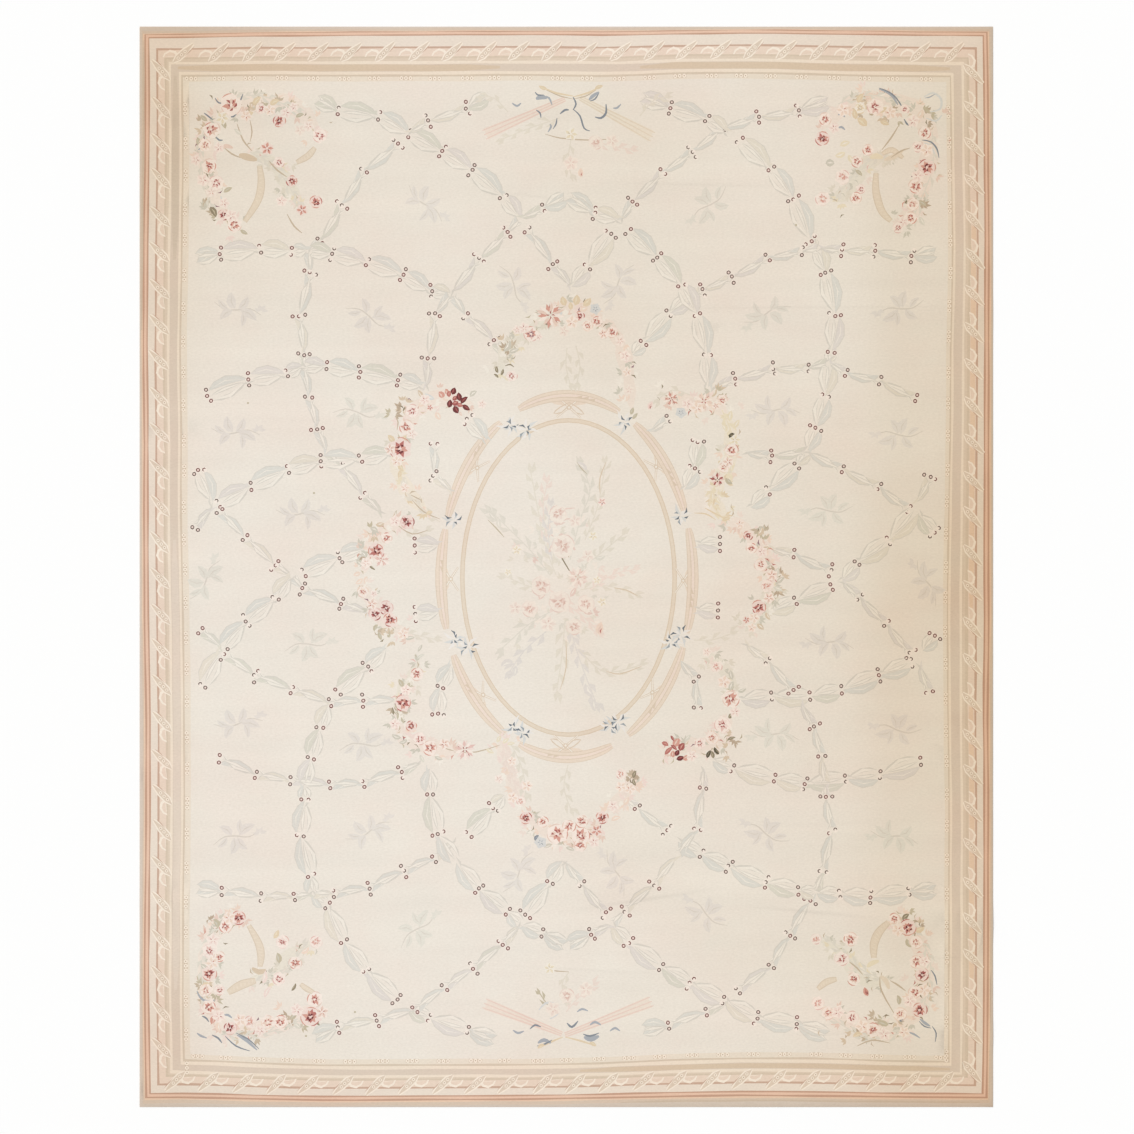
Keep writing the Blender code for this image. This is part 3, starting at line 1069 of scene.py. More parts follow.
# Leaves and loose petals: their middle, size, and turn in degrees anticlockwise from the right.
Leaf = namedtuple("Leaf", "x y length width turn yarn")
LEAVES = table(
    Leaf,
    # The festoon above the medallion.
    (507, 346, 13, 6, 60, "grey leaf"), (514, 351, 11, 5, 20, "grey leaf"),
    (497.5, 369.5, 7, 3.4, 100, "dark leaf"), (502, 372, 7, 3, 70, "dark leaf"),
    (496, 376, 6, 2.6, 140, "dark leaf"), (564, 301, 10, 7, 110, "ochre"),
    (576, 300, 11, 7.5, 80, "ochre"), (587, 302, 11, 7, 45, "ochre"), (570.5, 306, 8, 5, 95, "ochre"),
    (584, 309, 8, 6, 20, "peach"), (560, 313, 9, 7, 90, "light blue"), (632, 411, 8, 4, 70, "olive"),
    (635, 416, 8, 3.4, 50, "olive"), (565.5, 311.5, 7, 6, 0, "leaf light"),
    # Upper left.
    (441, 395, 8, 6.4, 125, "coral"), (446.4, 391.8, 6.6, 4.6, 105, "coral"),
    (445.6, 398.6, 7, 3, -25, "peach"), (449.8, 394, 6.4, 4.6, 80, "red"),
    (453.4, 391, 7.6, 6, 70, "maroon"), (454.8, 398, 6.4, 4.6, 45, "deep red"),
    (459.2, 396.8, 9, 5.8, 100, "maroon"), (464.4, 400.4, 10, 4.8, 45, "maroon"),
    (466.2, 407.4, 9.4, 5.2, -35, "maroon"), (459.8, 404.8, 7, 4.4, -20, "red"),
    (456.2, 409.6, 8.6, 6.4, -60, "maroon"), (449.6, 403.6, 8.4, 6, 80, "maroon"),
    (461, 413.6, 5, 3, -60, "dull coral"), (455.2, 402.6, 6.8, 5.4, 20, "deep red"),
    (473.5, 394, 9, 5, 40, "grey leaf"), (430, 396, 11, 5, 150, "light blue"),
    (420, 394, 9, 4.5, 120, "tan leaf"), (438, 416, 9, 6, -60, "peach"),
    (391, 439, 10, 6, 130, "ochre"), (404, 439, 9, 5, 60, "ochre"), (401, 467, 10, 5, -60, "ochre"),
    (399, 474, 8, 4, -100, "ochre"), (429.5, 513, 7, 4.5, 20, "ochre"), (422, 404, 9, 5, 30, "peach"),
    # Left.
    (380, 524, 9, 5, 10, "tan leaf"), (374, 530, 8, 5.5, -20, "grey leaf"),
    (364, 554, 9, 5, 130, "grey leaf"), (360, 562, 8, 4.5, 150, "grey leaf"),
    (372, 567, 9, 2.4, -40, "dark leaf"), (357, 574, 8, 5, 200, "peach"),
    (359, 581, 9, 5, 215, "peach"), (360, 589, 9, 5, 230, "tan leaf"), (366, 580, 8, 4, 250, "peach"),
    (395, 624, 9, 5, -20, "dull pink"), (376, 628, 8, 4, 240, "olive"), (380, 636, 9, 4, -70, "olive"),
    (410, 638, 10, 4, 10, "grey leaf"), (420, 648, 9, 3, 60, "grey leaf"),
    # Lower left.
    (421, 657, 9, 3, 30, "green leaf"), (401, 683, 9, 5, 120, "olive"), (408, 686, 8, 4, 60, "olive"),
    (402, 695, 8, 3, 20, "violet"), (396, 701, 8, 3, 70, "violet"),
    (393, 711, 8, 2.6, 100, "dark leaf"), (398, 716, 7, 2.4, 80, "olive"),
    (403, 720, 7, 2.4, 120, "olive"), (396.5, 736, 10, 5, 160, "grey leaf"),
    (403, 741, 9, 4, 200, "grey leaf"), (422, 758.6, 9, 4, -60, "green leaf"),
    (438.7, 758, 9, 4, -20, "grey leaf"), (499, 739, 8, 4, 60, "yellow"),
    (506, 741, 8, 4, 40, "yellow"), (511, 744, 8, 3.4, 10, "yellow"), (490, 751, 9, 4, -30, "yellow"),
    # Below.
    (540.6, 842.4, 9, 6, 0, "blue"), (537, 838, 7, 4, 60, "deep blue"), (616, 819, 10, 5, 20, "peach"),
    (626, 801, 10, 5, 60, "peach"), (635, 774.4, 8, 4, 70, "dark leaf"),
    (634.5, 782, 8, 3.4, 110, "dark leaf"), (548, 846, 9, 4, 200, "grey leaf"),
    (570, 849, 9, 4, -20, "grey leaf"),
    # Lower right.
    (665, 744.2, 7.6, 4.6, -25, "red"), (668.6, 750.8, 11, 4.4, 45, "red"),
    (676.4, 742.6, 10, 7.4, 60, "coral"), (682.2, 747, 9, 6.8, 60, "deep red"),
    (673, 754, 7, 5.4, 90, "coral"), (680.4, 758.2, 8.6, 5.2, 15, "maroon"),
    (686, 757.2, 8, 5.6, 40, "coral"), (690.6, 754.6, 6, 4.6, 10, "dull coral"),
    (673.8, 747.6, 8, 3.4, -40, "deep red"), (677.4, 753, 7, 5, 60, "maroon"),
    (672.4, 738.4, 7, 2.8, -60, "deep red"), (687.6, 737.6, 9, 4, 50, "green leaf"),
    (708.8, 754.2, 8.8, 4.2, 65, "black leaf"), (712.2, 754.6, 8, 4, 105, "dark leaf"),
    (716.8, 750.6, 8.6, 3.8, -55, "black leaf"), (731.5, 739, 9, 3, 20, "dark leaf"),
    (730.7, 715.5, 8, 4, 60, "dark leaf"), (731.5, 675, 10, 5, 100, "grey leaf"),
    (731.5, 686, 10, 5, 70, "grey leaf"), (742, 690, 9, 4, 20, "grey leaf"),
    # Right.
    (760.5, 531.4, 10, 5, 60, "tan leaf"), (765.5, 549.6, 10, 5, 30, "tan leaf"),
    (777, 572, 10, 5, 70, "green leaf"), (780, 580, 10, 5, 40, "grey leaf"),
    (778, 589, 10, 5, -20, "green leaf"), (773.8, 598, 9, 4, -60, "grey leaf"),
    (760.5, 626.7, 9, 5, -40, "tan leaf"), (768, 616, 9, 4, -60, "tan leaf"),
    # Upper right.
    (681, 412.6, 9, 6, -50, "light blue"), (714, 392.7, 10, 3, 60, "tan leaf"),
    (730.7, 416, 11, 6, 80, "yellow"), (737, 424, 10, 5, 60, "yellow"),
    (724, 427.5, 10, 5, 120, "yellow"), (732.3, 435.3, 8, 6.4, 0, "black leaf"),
    (729, 481, 9, 5, -40, "olive"), (712.4, 496, 10, 5, -90, "yellow"), (718, 500, 9, 4, -60, "yellow"),
    (726.5, 519.5, 9, 4.5, 20, "ochre"),
    # The upper left corner.
    (257.6, 101.4, 11, 6, 50, "ochre"), (248.4, 114.3, 11, 6, 20, "ochre"),
    (275, 103, 11, 6, 30, "ochre"), (222.5, 123.6, 12, 5, 120, "olive"),
    (205.8, 177, 8, 4, 80, "dark leaf"), (213, 212, 12, 6, -60, "dark leaf"),
    (198, 142, 10, 5, 100, "olive"), (238, 132, 10, 4, -40, "green leaf"),
    (204, 118, 9, 4.5, 140, "olive"), (228, 190, 10, 4.5, 30, "olive"), (244, 232, 9, 4, -30, "olive"),
    (300, 116, 9, 4, 20, "olive"),
    # The upper right corner.
    (860.7, 98.4, 11, 6, 60, "ochre"), (855, 114, 11, 6, 100, "ochre"), (862, 122, 13, 8, 140, "ochre"),
    (882.7, 110, 10, 5, 30, "ochre"), (884.6, 123, 10, 5, -20, "ochre"), (920, 114, 10, 6, 60, "peach"),
    (845, 144, 11, 6, 20, "yellow"), (840, 154, 11, 6, 200, "yellow"), (851, 159, 10, 5, -60, "yellow"),
    (830, 163.5, 9, 8, 0, "grey leaf"), (858.8, 173, 9, 4, -40, "olive"),
    (908.5, 201.7, 9, 4.5, 200, "dark leaf"), (922, 203.7, 10, 5, -30, "olive"),
    (922, 221, 10, 5, -60, "green leaf"),
    # The lower left corner.
    (216, 923.7, 11, 6, 120, "olive"), (204, 966.8, 9, 5, 140, "grey leaf"),
    (205.8, 986, 10, 6, 200, "ochre"), (214, 1020, 10, 6, -120, "coral"),
    (219, 1027, 10, 5, -80, "peach"), (293.6, 1016.7, 10, 5, 40, "olive"),
    (297, 1026, 9, 5, -40, "green leaf"), (317.7, 1022, 8, 3.4, -60, "dark leaf"),
    (293.6, 987, 9, 3, 60, "dark leaf"), (278, 958, 11, 6, 100, "olive"),
    (276, 934, 10, 5, 60, "ochre"), (264, 977, 14, 5, 80, "pale pink"),
    (268, 992, 14, 5, 60, "pale pink"), (305, 950, 10, 5, 40, "peach"),
    # The lower right corner.
    (905.7, 916.8, 9, 5, 40, "dark leaf"), (919.4, 929, 11, 6, 20, "ochre"),
    (909, 943, 10, 5, -60, "olive"), (883, 1022.7, 12, 6, 160, "olive"),
    (857.4, 1035, 10, 5, 200, "ochre"), (898, 1000, 10, 5, 100, "olive"),
    # The bouquet in the medallion.
    (493, 516, 13, 5, 130, "faint green"), (499, 523, 12, 5, 100, "faint green"),
    (582, 466, 13, 5, 140, "faint lilac"), (507, 664, 13, 7, 200, "faint lilac"),
    (515, 671, 11, 6, -100, "faint lilac"), (589, 690, 15, 7, -60, "faint lilac"),
    (594, 705, 13, 6, -80, "faint lilac"), (545, 618, 12, 4, 20, "faint green"),
    (600, 557, 11, 4.6, 10, "faint green"), (541, 594, 12, 7, 250, "faint shade"),
    (588, 610, 12, 7, -40, "faint shade"), (573, 592, 11, 5, 60, "faint shade"),
    # Head and foot.
    (543, 87.3, 9, 4, 160, "ochre"), (599, 87.3, 9, 4, 20, "ochre"), (541, 1046.5, 8, 4, -150, "ochre"),
    (593, 1044, 8, 4, -30, "ochre"),
)


# The wool of the line along a leaf, by the leaf's own. Any other leaf has a light one.
VEINS = {
    "ochre": "yellow", "olive": "grey leaf", "dark leaf": "olive", "black leaf": "dark leaf",
    "red": "coral", "coral": "dull coral", "deep red": "coral", "maroon": "deep red",
    "violet": "pink", "blue": "light blue", "deep blue": "blue",
}


def draw_leaf(art, row):
    """A leaf or petal with a line of light or shade along it."""
    art.next_lot()
    place = Place(row.x, row.y, row.turn)
    half = 0.5 * row.length
    bend = art.dice.uniform(-0.14, 0.14)
    art.blade(place.at(-half, 0), place.at(half, 0), row.width, row.yarn, bend)
    vein = VEINS.get(row.yarn, "leaf light")
    art.stroke(place.at(-0.7 * half, 0.4), place.at(0.8 * half, 0.4), 0.25 * row.width, vein, bend)


# Drawn lines and ribbons: wool, width, and the knots of their curve.
Line = namedtuple("Line", "yarn width knots")
LINES = table(
    Line,
    # Stems and dark touches round the medallion.
    ("dark leaf", 1.4, ((505, 366), (510, 364.5), (514, 367))),
    ("dark leaf", 1.6, ((403, 411), (405, 407))), ("dark leaf", 1.6, ((412, 409), (414, 406))),
    ("stem", 1.2, ((395, 416), (398, 422), (397, 430))), ("stem", 1.2, ((411, 495), (421, 500))),
    ("stem", 1.2, ((444, 748), (454, 751))), ("stem", 1.2, ((454, 752), (476, 752), (500, 745))),
    ("ochre", 1.6, ((705, 508), (714, 513), (726, 519))),
    ("ochre", 1.4, ((694, 513), (706, 514), (716, 520))),
    ("stem", 1.2, ((440, 519), (424, 512), (412, 500))),
    ("stem", 1.2, ((396, 524), (412, 534), (428, 530))),
    # Stems and the ribbons' ends in the corner wreaths.
    ("stem", 1.6, ((237, 123.6), (243, 140), (252, 151))),
    ("stem", 1.6, ((224, 147.6), (232, 154), (241, 158))),
    ("stem", 1.6, ((287, 214), (294, 226), (302, 233))),
    ("stem", 1.6, ((268.7, 160.6), (277, 170), (287, 177))),
    ("deep blue", 1.5, ((215, 98), (219, 103), (226, 103))),
    ("deep blue", 1.6, ((243, 94), (240, 102), (236, 110))),
    ("deep blue", 1.6, ((229, 112), (232, 117), (237, 114))),
    ("deep blue", 1.6, ((204, 113), (208, 116), (213, 120))),
    ("blue", 1.9, ((198, 150), (203, 146), (206, 141))),
    ("deep blue", 1.7, ((215, 136), (219, 140), (223, 140))),
    ("light blue", 2.0, ((220.6, 196), (222, 201), (220, 206))),
    ("stem", 1.3, ((250, 120), (252, 132), (250, 142))),
    ("dull coral", 4.4, ((221, 149), (226, 146), (233, 148))),
    ("tan leaf", 7.0, ((239, 155), (247, 157), (257, 160))),
    ("yellow", 6.0, ((870, 158), (876, 156), (883, 158))),
    ("wreath tan", 5.0, ((884, 160), (893, 157), (903, 151))),
    ("yellow", 5.0, ((867, 967), (872, 963), (879, 961))),
    ("wreath tan", 5.0, ((880, 976), (886, 981), (889, 989))),
    ("tan leaf", 5.4, ((252, 968), (259, 972), (266, 970))),
    ("light blue", 2.4, ((924, 97), (933, 93), (941, 99), (940, 109), (930, 112))),
    ("light blue", 1.8, ((926, 118), (936, 121), (942, 115))),
    ("blue", 1.2, ((925, 98), (930, 97), (935, 94))),
    ("blue", 2.6, ((879, 89), (887, 92), (893, 97), (898, 105))),
    ("deep blue", 1.5, ((879, 88), (889, 92), (897, 99), (905, 112))),
    ("deep blue", 1.8, ((904, 119), (907, 124), (912, 127))),
    ("blue", 2.2, ((838, 115), (841.6, 114), (845, 117))),
    ("blue", 2.2, ((838, 128), (841.6, 127), (845, 130))),
    ("deep blue", 1.6, ((922, 140), (931, 142), (937, 149), (939, 158))),
    ("light blue", 2.4, ((924, 143), (930, 146), (935, 154))),
    ("stem", 1.6, ((881.7, 150), (891, 138), (899, 125))),
    ("stem", 1.6, ((891, 157.7), (901, 151), (910, 148))),
    ("blue", 2.2, ((197, 991), (200, 997), (206, 1001), (215, 1000))),
    ("deep blue", 1.8, ((202, 1016), (206, 1018), (209, 1022))),
    ("blue", 2.4, ((224, 1015), (228, 1015), (232, 1018))),
    ("blue", 2.2, ((197, 1033), (201, 1036), (207, 1038))),
    ("deep blue", 1.9, ((212, 1035), (218, 1038), (222, 1043))),
    ("blue", 2.8, ((237, 1035), (247, 1041), (257, 1050))),
    ("deep blue", 1.4, ((236, 1033), (248, 1039), (259, 1049))),
    ("deep blue", 1.5, ((225, 1036), (236, 1046), (250, 1051))),
    ("stem", 1.6, ((848.8, 961.6), (856, 967), (862.6, 974.5))),
    ("stem", 1.6, ((879.8, 977), (881.5, 991), (895, 1015))),
    ("stem", 1.6, ((890, 980.5), (898, 985), (905.7, 991))),
    ("stem", 1.4, ((857, 1046), (872, 1040), (890, 1043))),
    ("blue", 3.0, ((920, 1019), (925, 1023), (930, 1026))),
    ("deep blue", 1.4, ((919, 1021), (924, 1026), (931, 1028))),
    ("deep blue", 1.8, ((897, 1015), (901, 1021), (906, 1016))),
    ("deep blue", 1.4, ((931, 970), (935, 976), (937, 985))),
    ("blue", 2.0, ((908, 1032), (914, 1034), (920, 1038))),
    ("deep blue", 1.4, ((932, 1026), (936, 1033), (935, 1042))),
    # The tools and ribbons at the head.
    ("ochre", 2.0, ((544, 88), (556, 93), (573, 96))),
    ("ochre", 2.0, ((598, 88), (588, 93), (573, 97))), ("stem", 1.1, ((546, 90), (560, 96), (573, 99))),
    ("stem", 1.1, ((596, 90), (586, 96), (573, 99))),
    ("stem", 1.3, ((545, 134), (560, 138), (586, 140), (612, 139))),
    ("blue", 5.0, ((536, 99), (541, 97), (547, 98))),
    ("deep blue", 1.6, ((535, 92), (538, 95), (544, 95))),
    ("blue", 2.0, ((542, 96), (549, 98), (552, 105))),
    ("deep blue", 1.6, ((536, 110), (540, 113), (541, 118))),
    ("deep blue", 2.2, ((560, 114), (565, 110), (569, 110))),
    ("deep blue", 1.8, ((573, 97), (576, 104), (573, 110))),
    ("deep blue", 1.7, ((573, 109), (580, 116), (584, 128), (590, 131))),
    ("blue", 3.6, ((589, 100), (593, 96), (599, 92))),
    ("deep blue", 1.5, ((590, 101), (595, 99), (599, 93))),
    ("deep blue", 2.4, ((595, 117), (601, 118), (606, 113), (606, 104))),
    ("blue", 2.2, ((512, 103), (517, 106), (521, 103))),
    ("blue", 2.0, ((613, 108), (617, 108), (621, 104))),
    ("blue", 2.0, ((548, 132), (551, 127), (550, 124))),
    ("deep blue", 1.5, ((553, 129), (556, 124), (557, 118))),
    # The tools and ribbons at the foot.
    ("ochre", 2.0, ((541, 1047), (551, 1042), (563, 1037))),
    ("ochre", 2.0, ((593, 1045), (581, 1041), (565, 1037))),
    ("blue", 2.4, ((513, 1030), (518, 1033), (524, 1031))),
    ("deep blue", 2.0, ((530, 1029), (535, 1025), (541, 1027))),
    ("blue", 4.0, ((538, 1043), (544, 1040), (551, 1043))),
    ("deep blue", 1.6, ((537, 1046), (545, 1044), (552, 1040))),
    ("deep blue", 2.4, ((567, 1023), (572, 1027), (578, 1021))),
    ("blue", 2.2, ((577, 1012), (582, 1009), (588, 1011))),
    ("blue", 5.4, ((584, 1037), (591, 1039), (599, 1036))),
    ("deep blue", 2.0, ((583, 1034), (590, 1036), (599, 1033))),
    ("blue", 2.6, ((590, 1025), (595, 1022), (601, 1025))),
    ("blue", 2.4, ((610, 1031), (615, 1028), (620, 1031))),
    ("light blue", 3.0, ((539, 1010), (546, 1003), (556, 1005), (558, 1013), (550, 1019))),
    ("stem", 1.3, ((549.6, 970), (558, 971), (569, 971.7))),
    # The bouquet.
    ("olive", 1.4, ((488, 520), (496, 528), (504, 537))),
    ("olive", 1.3, ((577, 462), (581, 468), (587, 474))),
    ("faint shade", 5.0, ((549, 552), (556, 543), (567, 541), (575, 550))),
    ("dark leaf", 1.3, ((558, 549), (563, 560), (571, 573))), ("stem", 1.3, ((567, 548), (569, 558))),
    ("faint shade", 1.6, ((554, 520), (562, 510), (575, 508))),
    ("faint shade", 1.6, ((556, 526), (566, 519), (577, 520))),
    ("tan leaf", 1.1, ((614, 588), (626, 590), (638, 596))),
    ("tan leaf", 1.1, ((606, 671), (620, 674), (642, 666))),
    ("tan leaf", 1.1, ((600, 494), (600, 478), (606, 462))),
    ("tan leaf", 1.1, ((566, 640), (566, 668), (560, 690))),
)

# Bundles of rods at the head and the foot, from where they cross to their outer ends.
Bundle = namedtuple("Bundle", "x y end_x end_y fill rod")
BUNDLES = table(
    Bundle,
    (565, 99, 486, 134, "rod fill", "rod pink"), (580, 98, 651, 136, "yellow wash", "wreath tan"),
    (562, 1034, 486, 1004, "rod fill", "rod pink"), (565, 1035, 650, 1002, "rod fill", "rod pink"),
)


def draw_bundle(art, row):
    """Three rods on a pale ground, which spread towards their ends."""
    place, length = between((row.x, row.y), (row.end_x, row.end_y))
    at = place.at
    art.strip([at(0, 0), at(0.5 * length, 0), at(length, 0)], (5.5, 8.4, 12.0), row.fill)
    for side in (-0.9, 0.0, 0.9):
        ends = [at(0, 2.2 * side), at(0.5 * length, 3.4 * side), at(length + 2, 5.2 * side)]
        art.strip(ends, (0.9, 1.4, 0.9), row.rod)


# Stems with leaves on both sides: the leaves' wool, length and width, and the stem's knots.
Spray = namedtuple("Spray", "yarn length width knots")
SPRAYS = table(
    Spray,
    # The bouquet.
    ("faint leaf", 12, 5.0, ((556, 575), (545, 545), (538, 510), (530, 468))),
    ("faint petal", 10, 4.4, ((548, 545), (543, 508), (548, 480))),
    ("faint green", 12, 5.0, ((550, 575), (530, 550), (505, 525), (490, 510))),
    ("faint lilac", 10, 4.2, ((552, 560), (548, 530), (552, 503))),
    ("faint green", 11, 4.6, ((570, 560), (580, 520), (590, 490), (579, 462))),
    ("faint leaf", 10, 3.6, ((585, 540), (598, 505), (606, 460))),
    ("faint leaf", 11, 4.4, ((585, 565), (605, 550), (626, 532))),
    ("faint leaf", 10, 4.2, ((580, 590), (608, 586), (638, 596))),
    ("faint petal", 9, 4.0, ((590, 590), (612, 575), (636, 569))),
    ("faint leaf", 10, 4.4, ((545, 590), (525, 585), (503, 575))),
    ("faint green", 12, 5.0, ((550, 612), (528, 625), (498, 652))),
    ("faint lilac", 12, 5.4, ((548, 630), (525, 650), (508, 674))),
    ("faint leaf", 12, 5.0, ((565, 620), (562, 655), (556, 696))),
    ("faint lilac", 12, 5.0, ((570, 625), (578, 655), (598, 708))),
    ("faint leaf", 10, 3.8, ((580, 650), (605, 672), (644, 664))),
    ("faint petal", 9, 4.0, ((560, 600), (585, 618), (600, 634))),
    # At the head and the foot.
    ("faint leaf", 10, 4.0, ((560, 118), (530, 128), (500, 140))),
    ("faint petal", 9, 4.0, ((590, 140), (612, 146), (634, 150))),
    ("faint leaf", 9, 3.8, ((571, 140), (568, 160), (572, 178))),
    ("faint leaf", 9, 3.8, ((640, 116), (654, 100), (668, 97))),
    ("faint leaf", 9, 3.8, ((508, 112), (494, 98), (480, 97))),
    ("olive", 8, 2.8, ((551, 1008), (544, 1000), (538, 990))),
    ("faint petal", 9, 4.0, ((566, 1012), (580, 996), (596, 984))),
    ("faint leaf", 9, 4.0, ((569, 972), (562, 984), (566, 1004))),
    # Round the medallion.
    ("faint leaf", 10, 4.0, ((567, 348), (566, 366), (571, 388))),
    ("faint leaf", 10, 4.0, ((576, 346), (580, 366), (576, 386))),
    ("faint leaf", 10, 4.0, ((568, 765), (564, 788), (572, 812))),
    ("faint petal", 10, 4.6, ((502, 742), (508, 765), (520, 800))),
    ("faint leaf", 10, 4.6, ((510, 742), (522, 768), (526, 796))),
    ("faint leaf", 10, 4.0, ((690, 395), (672, 390), (655, 402))),
    ("faint leaf", 10, 4.0, ((440, 522), (426, 512), (410, 496))),
    ("faint leaf", 10, 4.0, ((396, 524), (412, 534), (430, 530))),
    ("faint leaf", 10, 4.0, ((404, 632), (420, 636), (438, 640))),
    ("faint leaf", 10, 4.0, ((694, 640), (712, 640), (736, 632))),
    ("yellow", 10, 4.0, ((722, 410), (733, 440), (728, 476))),
    ("yellow", 9, 3.6, ((716, 484), (710, 500), (724, 520))),
    # In the corners.
    ("faint green", 9, 3.4, ((250, 152), (276, 168), (300, 205))),
    ("faint green", 9, 3.4, ((233, 98), (262, 96), (300, 112))),
    ("faint green", 9, 3.4, ((204, 128), (200, 160), (212, 208))),
    ("faint green", 9, 3.4, ((890, 152), (862, 166), (838, 196))),
    ("faint green", 9, 3.4, ((838, 104), (870, 95), (908, 104))),
    ("faint green", 9, 3.4, ((932, 132), (932, 170), (912, 220))),
    ("faint green", 9, 3.4, ((252, 982), (284, 972), (306, 944))),
    ("faint green", 9, 3.4, ((222, 922), (202, 960), (206, 1004))),
    ("faint green", 9, 3.4, ((222, 1034), (262, 1034), (306, 1018))),
    ("faint green", 9, 3.4, ((884, 980), (856, 966), (828, 938))),
    ("faint green", 9, 3.4, ((908, 920), (930, 960), (924, 1006))),
    ("faint green", 9, 3.4, ((908, 1030), (868, 1038), (826, 1014))),
)


def draw_spray(art, row):
    """A thin stem with leaves in turn on its two sides, and one at its tip."""
    art.next_lot()
    length = sum(math.dist(a, b) for a, b in zip(row.knots, row.knots[1:]))
    axis = curve(row.knots, max(2, round(length / (0.62 * row.length) / (len(row.knots) - 1))))
    art.strip(axis, [1.1] * len(axis), row.yarn)
    side = 1
    for here, ahead in zip(axis[1:-1], axis[2:]):
        place, _ = between(here, ahead)
        reach = row.length * art.dice.uniform(0.8, 1.25)
        spread = side * reach * art.dice.uniform(0.3, 0.55)
        art.stroke(here, place.at(reach, spread), row.width, row.yarn, side * 0.12)
        side = -side
    place, _ = between(axis[-2], axis[-1])
    art.stroke(axis[-2], place.at(row.length, 0), row.width, row.yarn)


# Hatched ribbons of the corner wreaths: width, and the knots of their curve.
Ribbon = namedtuple("Ribbon", "width knots")
RIBBONS = table(
    Ribbon,
    (8, ((259.5, 166), (261.3, 183), (257.6, 201), (244.7, 221.6))),
    (7, ((315, 147.6), (308, 156), (296.5, 162.4))),
    (8, ((876, 173), (876, 192), (881.7, 211), (891, 221))), (6, ((882, 154), (892, 150), (903, 158))),
    (8, ((248.8, 925.4), (258.3, 942.7), (261, 955), (260, 966.8))),
    (9, ((228, 992.6), (241, 985), (255.7, 980.5))), (6, ((300.5, 984), (307, 989), (314, 992.6))),
    (9, ((888.4, 922), (879, 932), (874, 944), (873.8, 958))),
    (7, ((817.8, 989), (826.4, 982), (836.8, 979))),
)

# Beds of faint leaves and petals under the flowers, in little fans along a path. wools names the
# fans' wools, the wash beneath them, and the thin dark touches on top.
Bed = namedtuple("Bed", "count spread wools knots")
BED_WOOLS = {
    "rosy": ("pale pink", "peach", "dull pink", "leaf light", "dull coral", "grey leaf"),
    "yellow": ("yellow", "peach", "pale leaf", "leaf light", "dull leaf", "ochre"),
    "leafy": ("grey leaf", "dull leaf", "pale leaf", "leaf light", "dull pink", "yellow"),
    "peach": ("peach", "dull pink", "leaf light", "pale pink"),
    "dark": ("tan leaf", "brown leaf", "stem", "grey leaf", "olive"),
    "faint": ("faint leaf", "faint petal", "faint rim", "faint green", "faint shade", "faint leaf"),
}
WASHES = {"rosy": "rosy wash", "yellow": "yellow wash", "leafy": "leafy wash", "peach": "rosy wash"}
TOUCHES = {
    "rosy": ("olive", "red", "dark leaf", "coral", "olive", "stem", "violet", "tan leaf"),
    "yellow": ("ochre", "stem", "olive", "tan leaf"),
    "leafy": ("olive", "grey leaf", "stem", "dark leaf", "pink"),
    "dark": ("brown leaf", "moss", "stem", "dark leaf"),
}

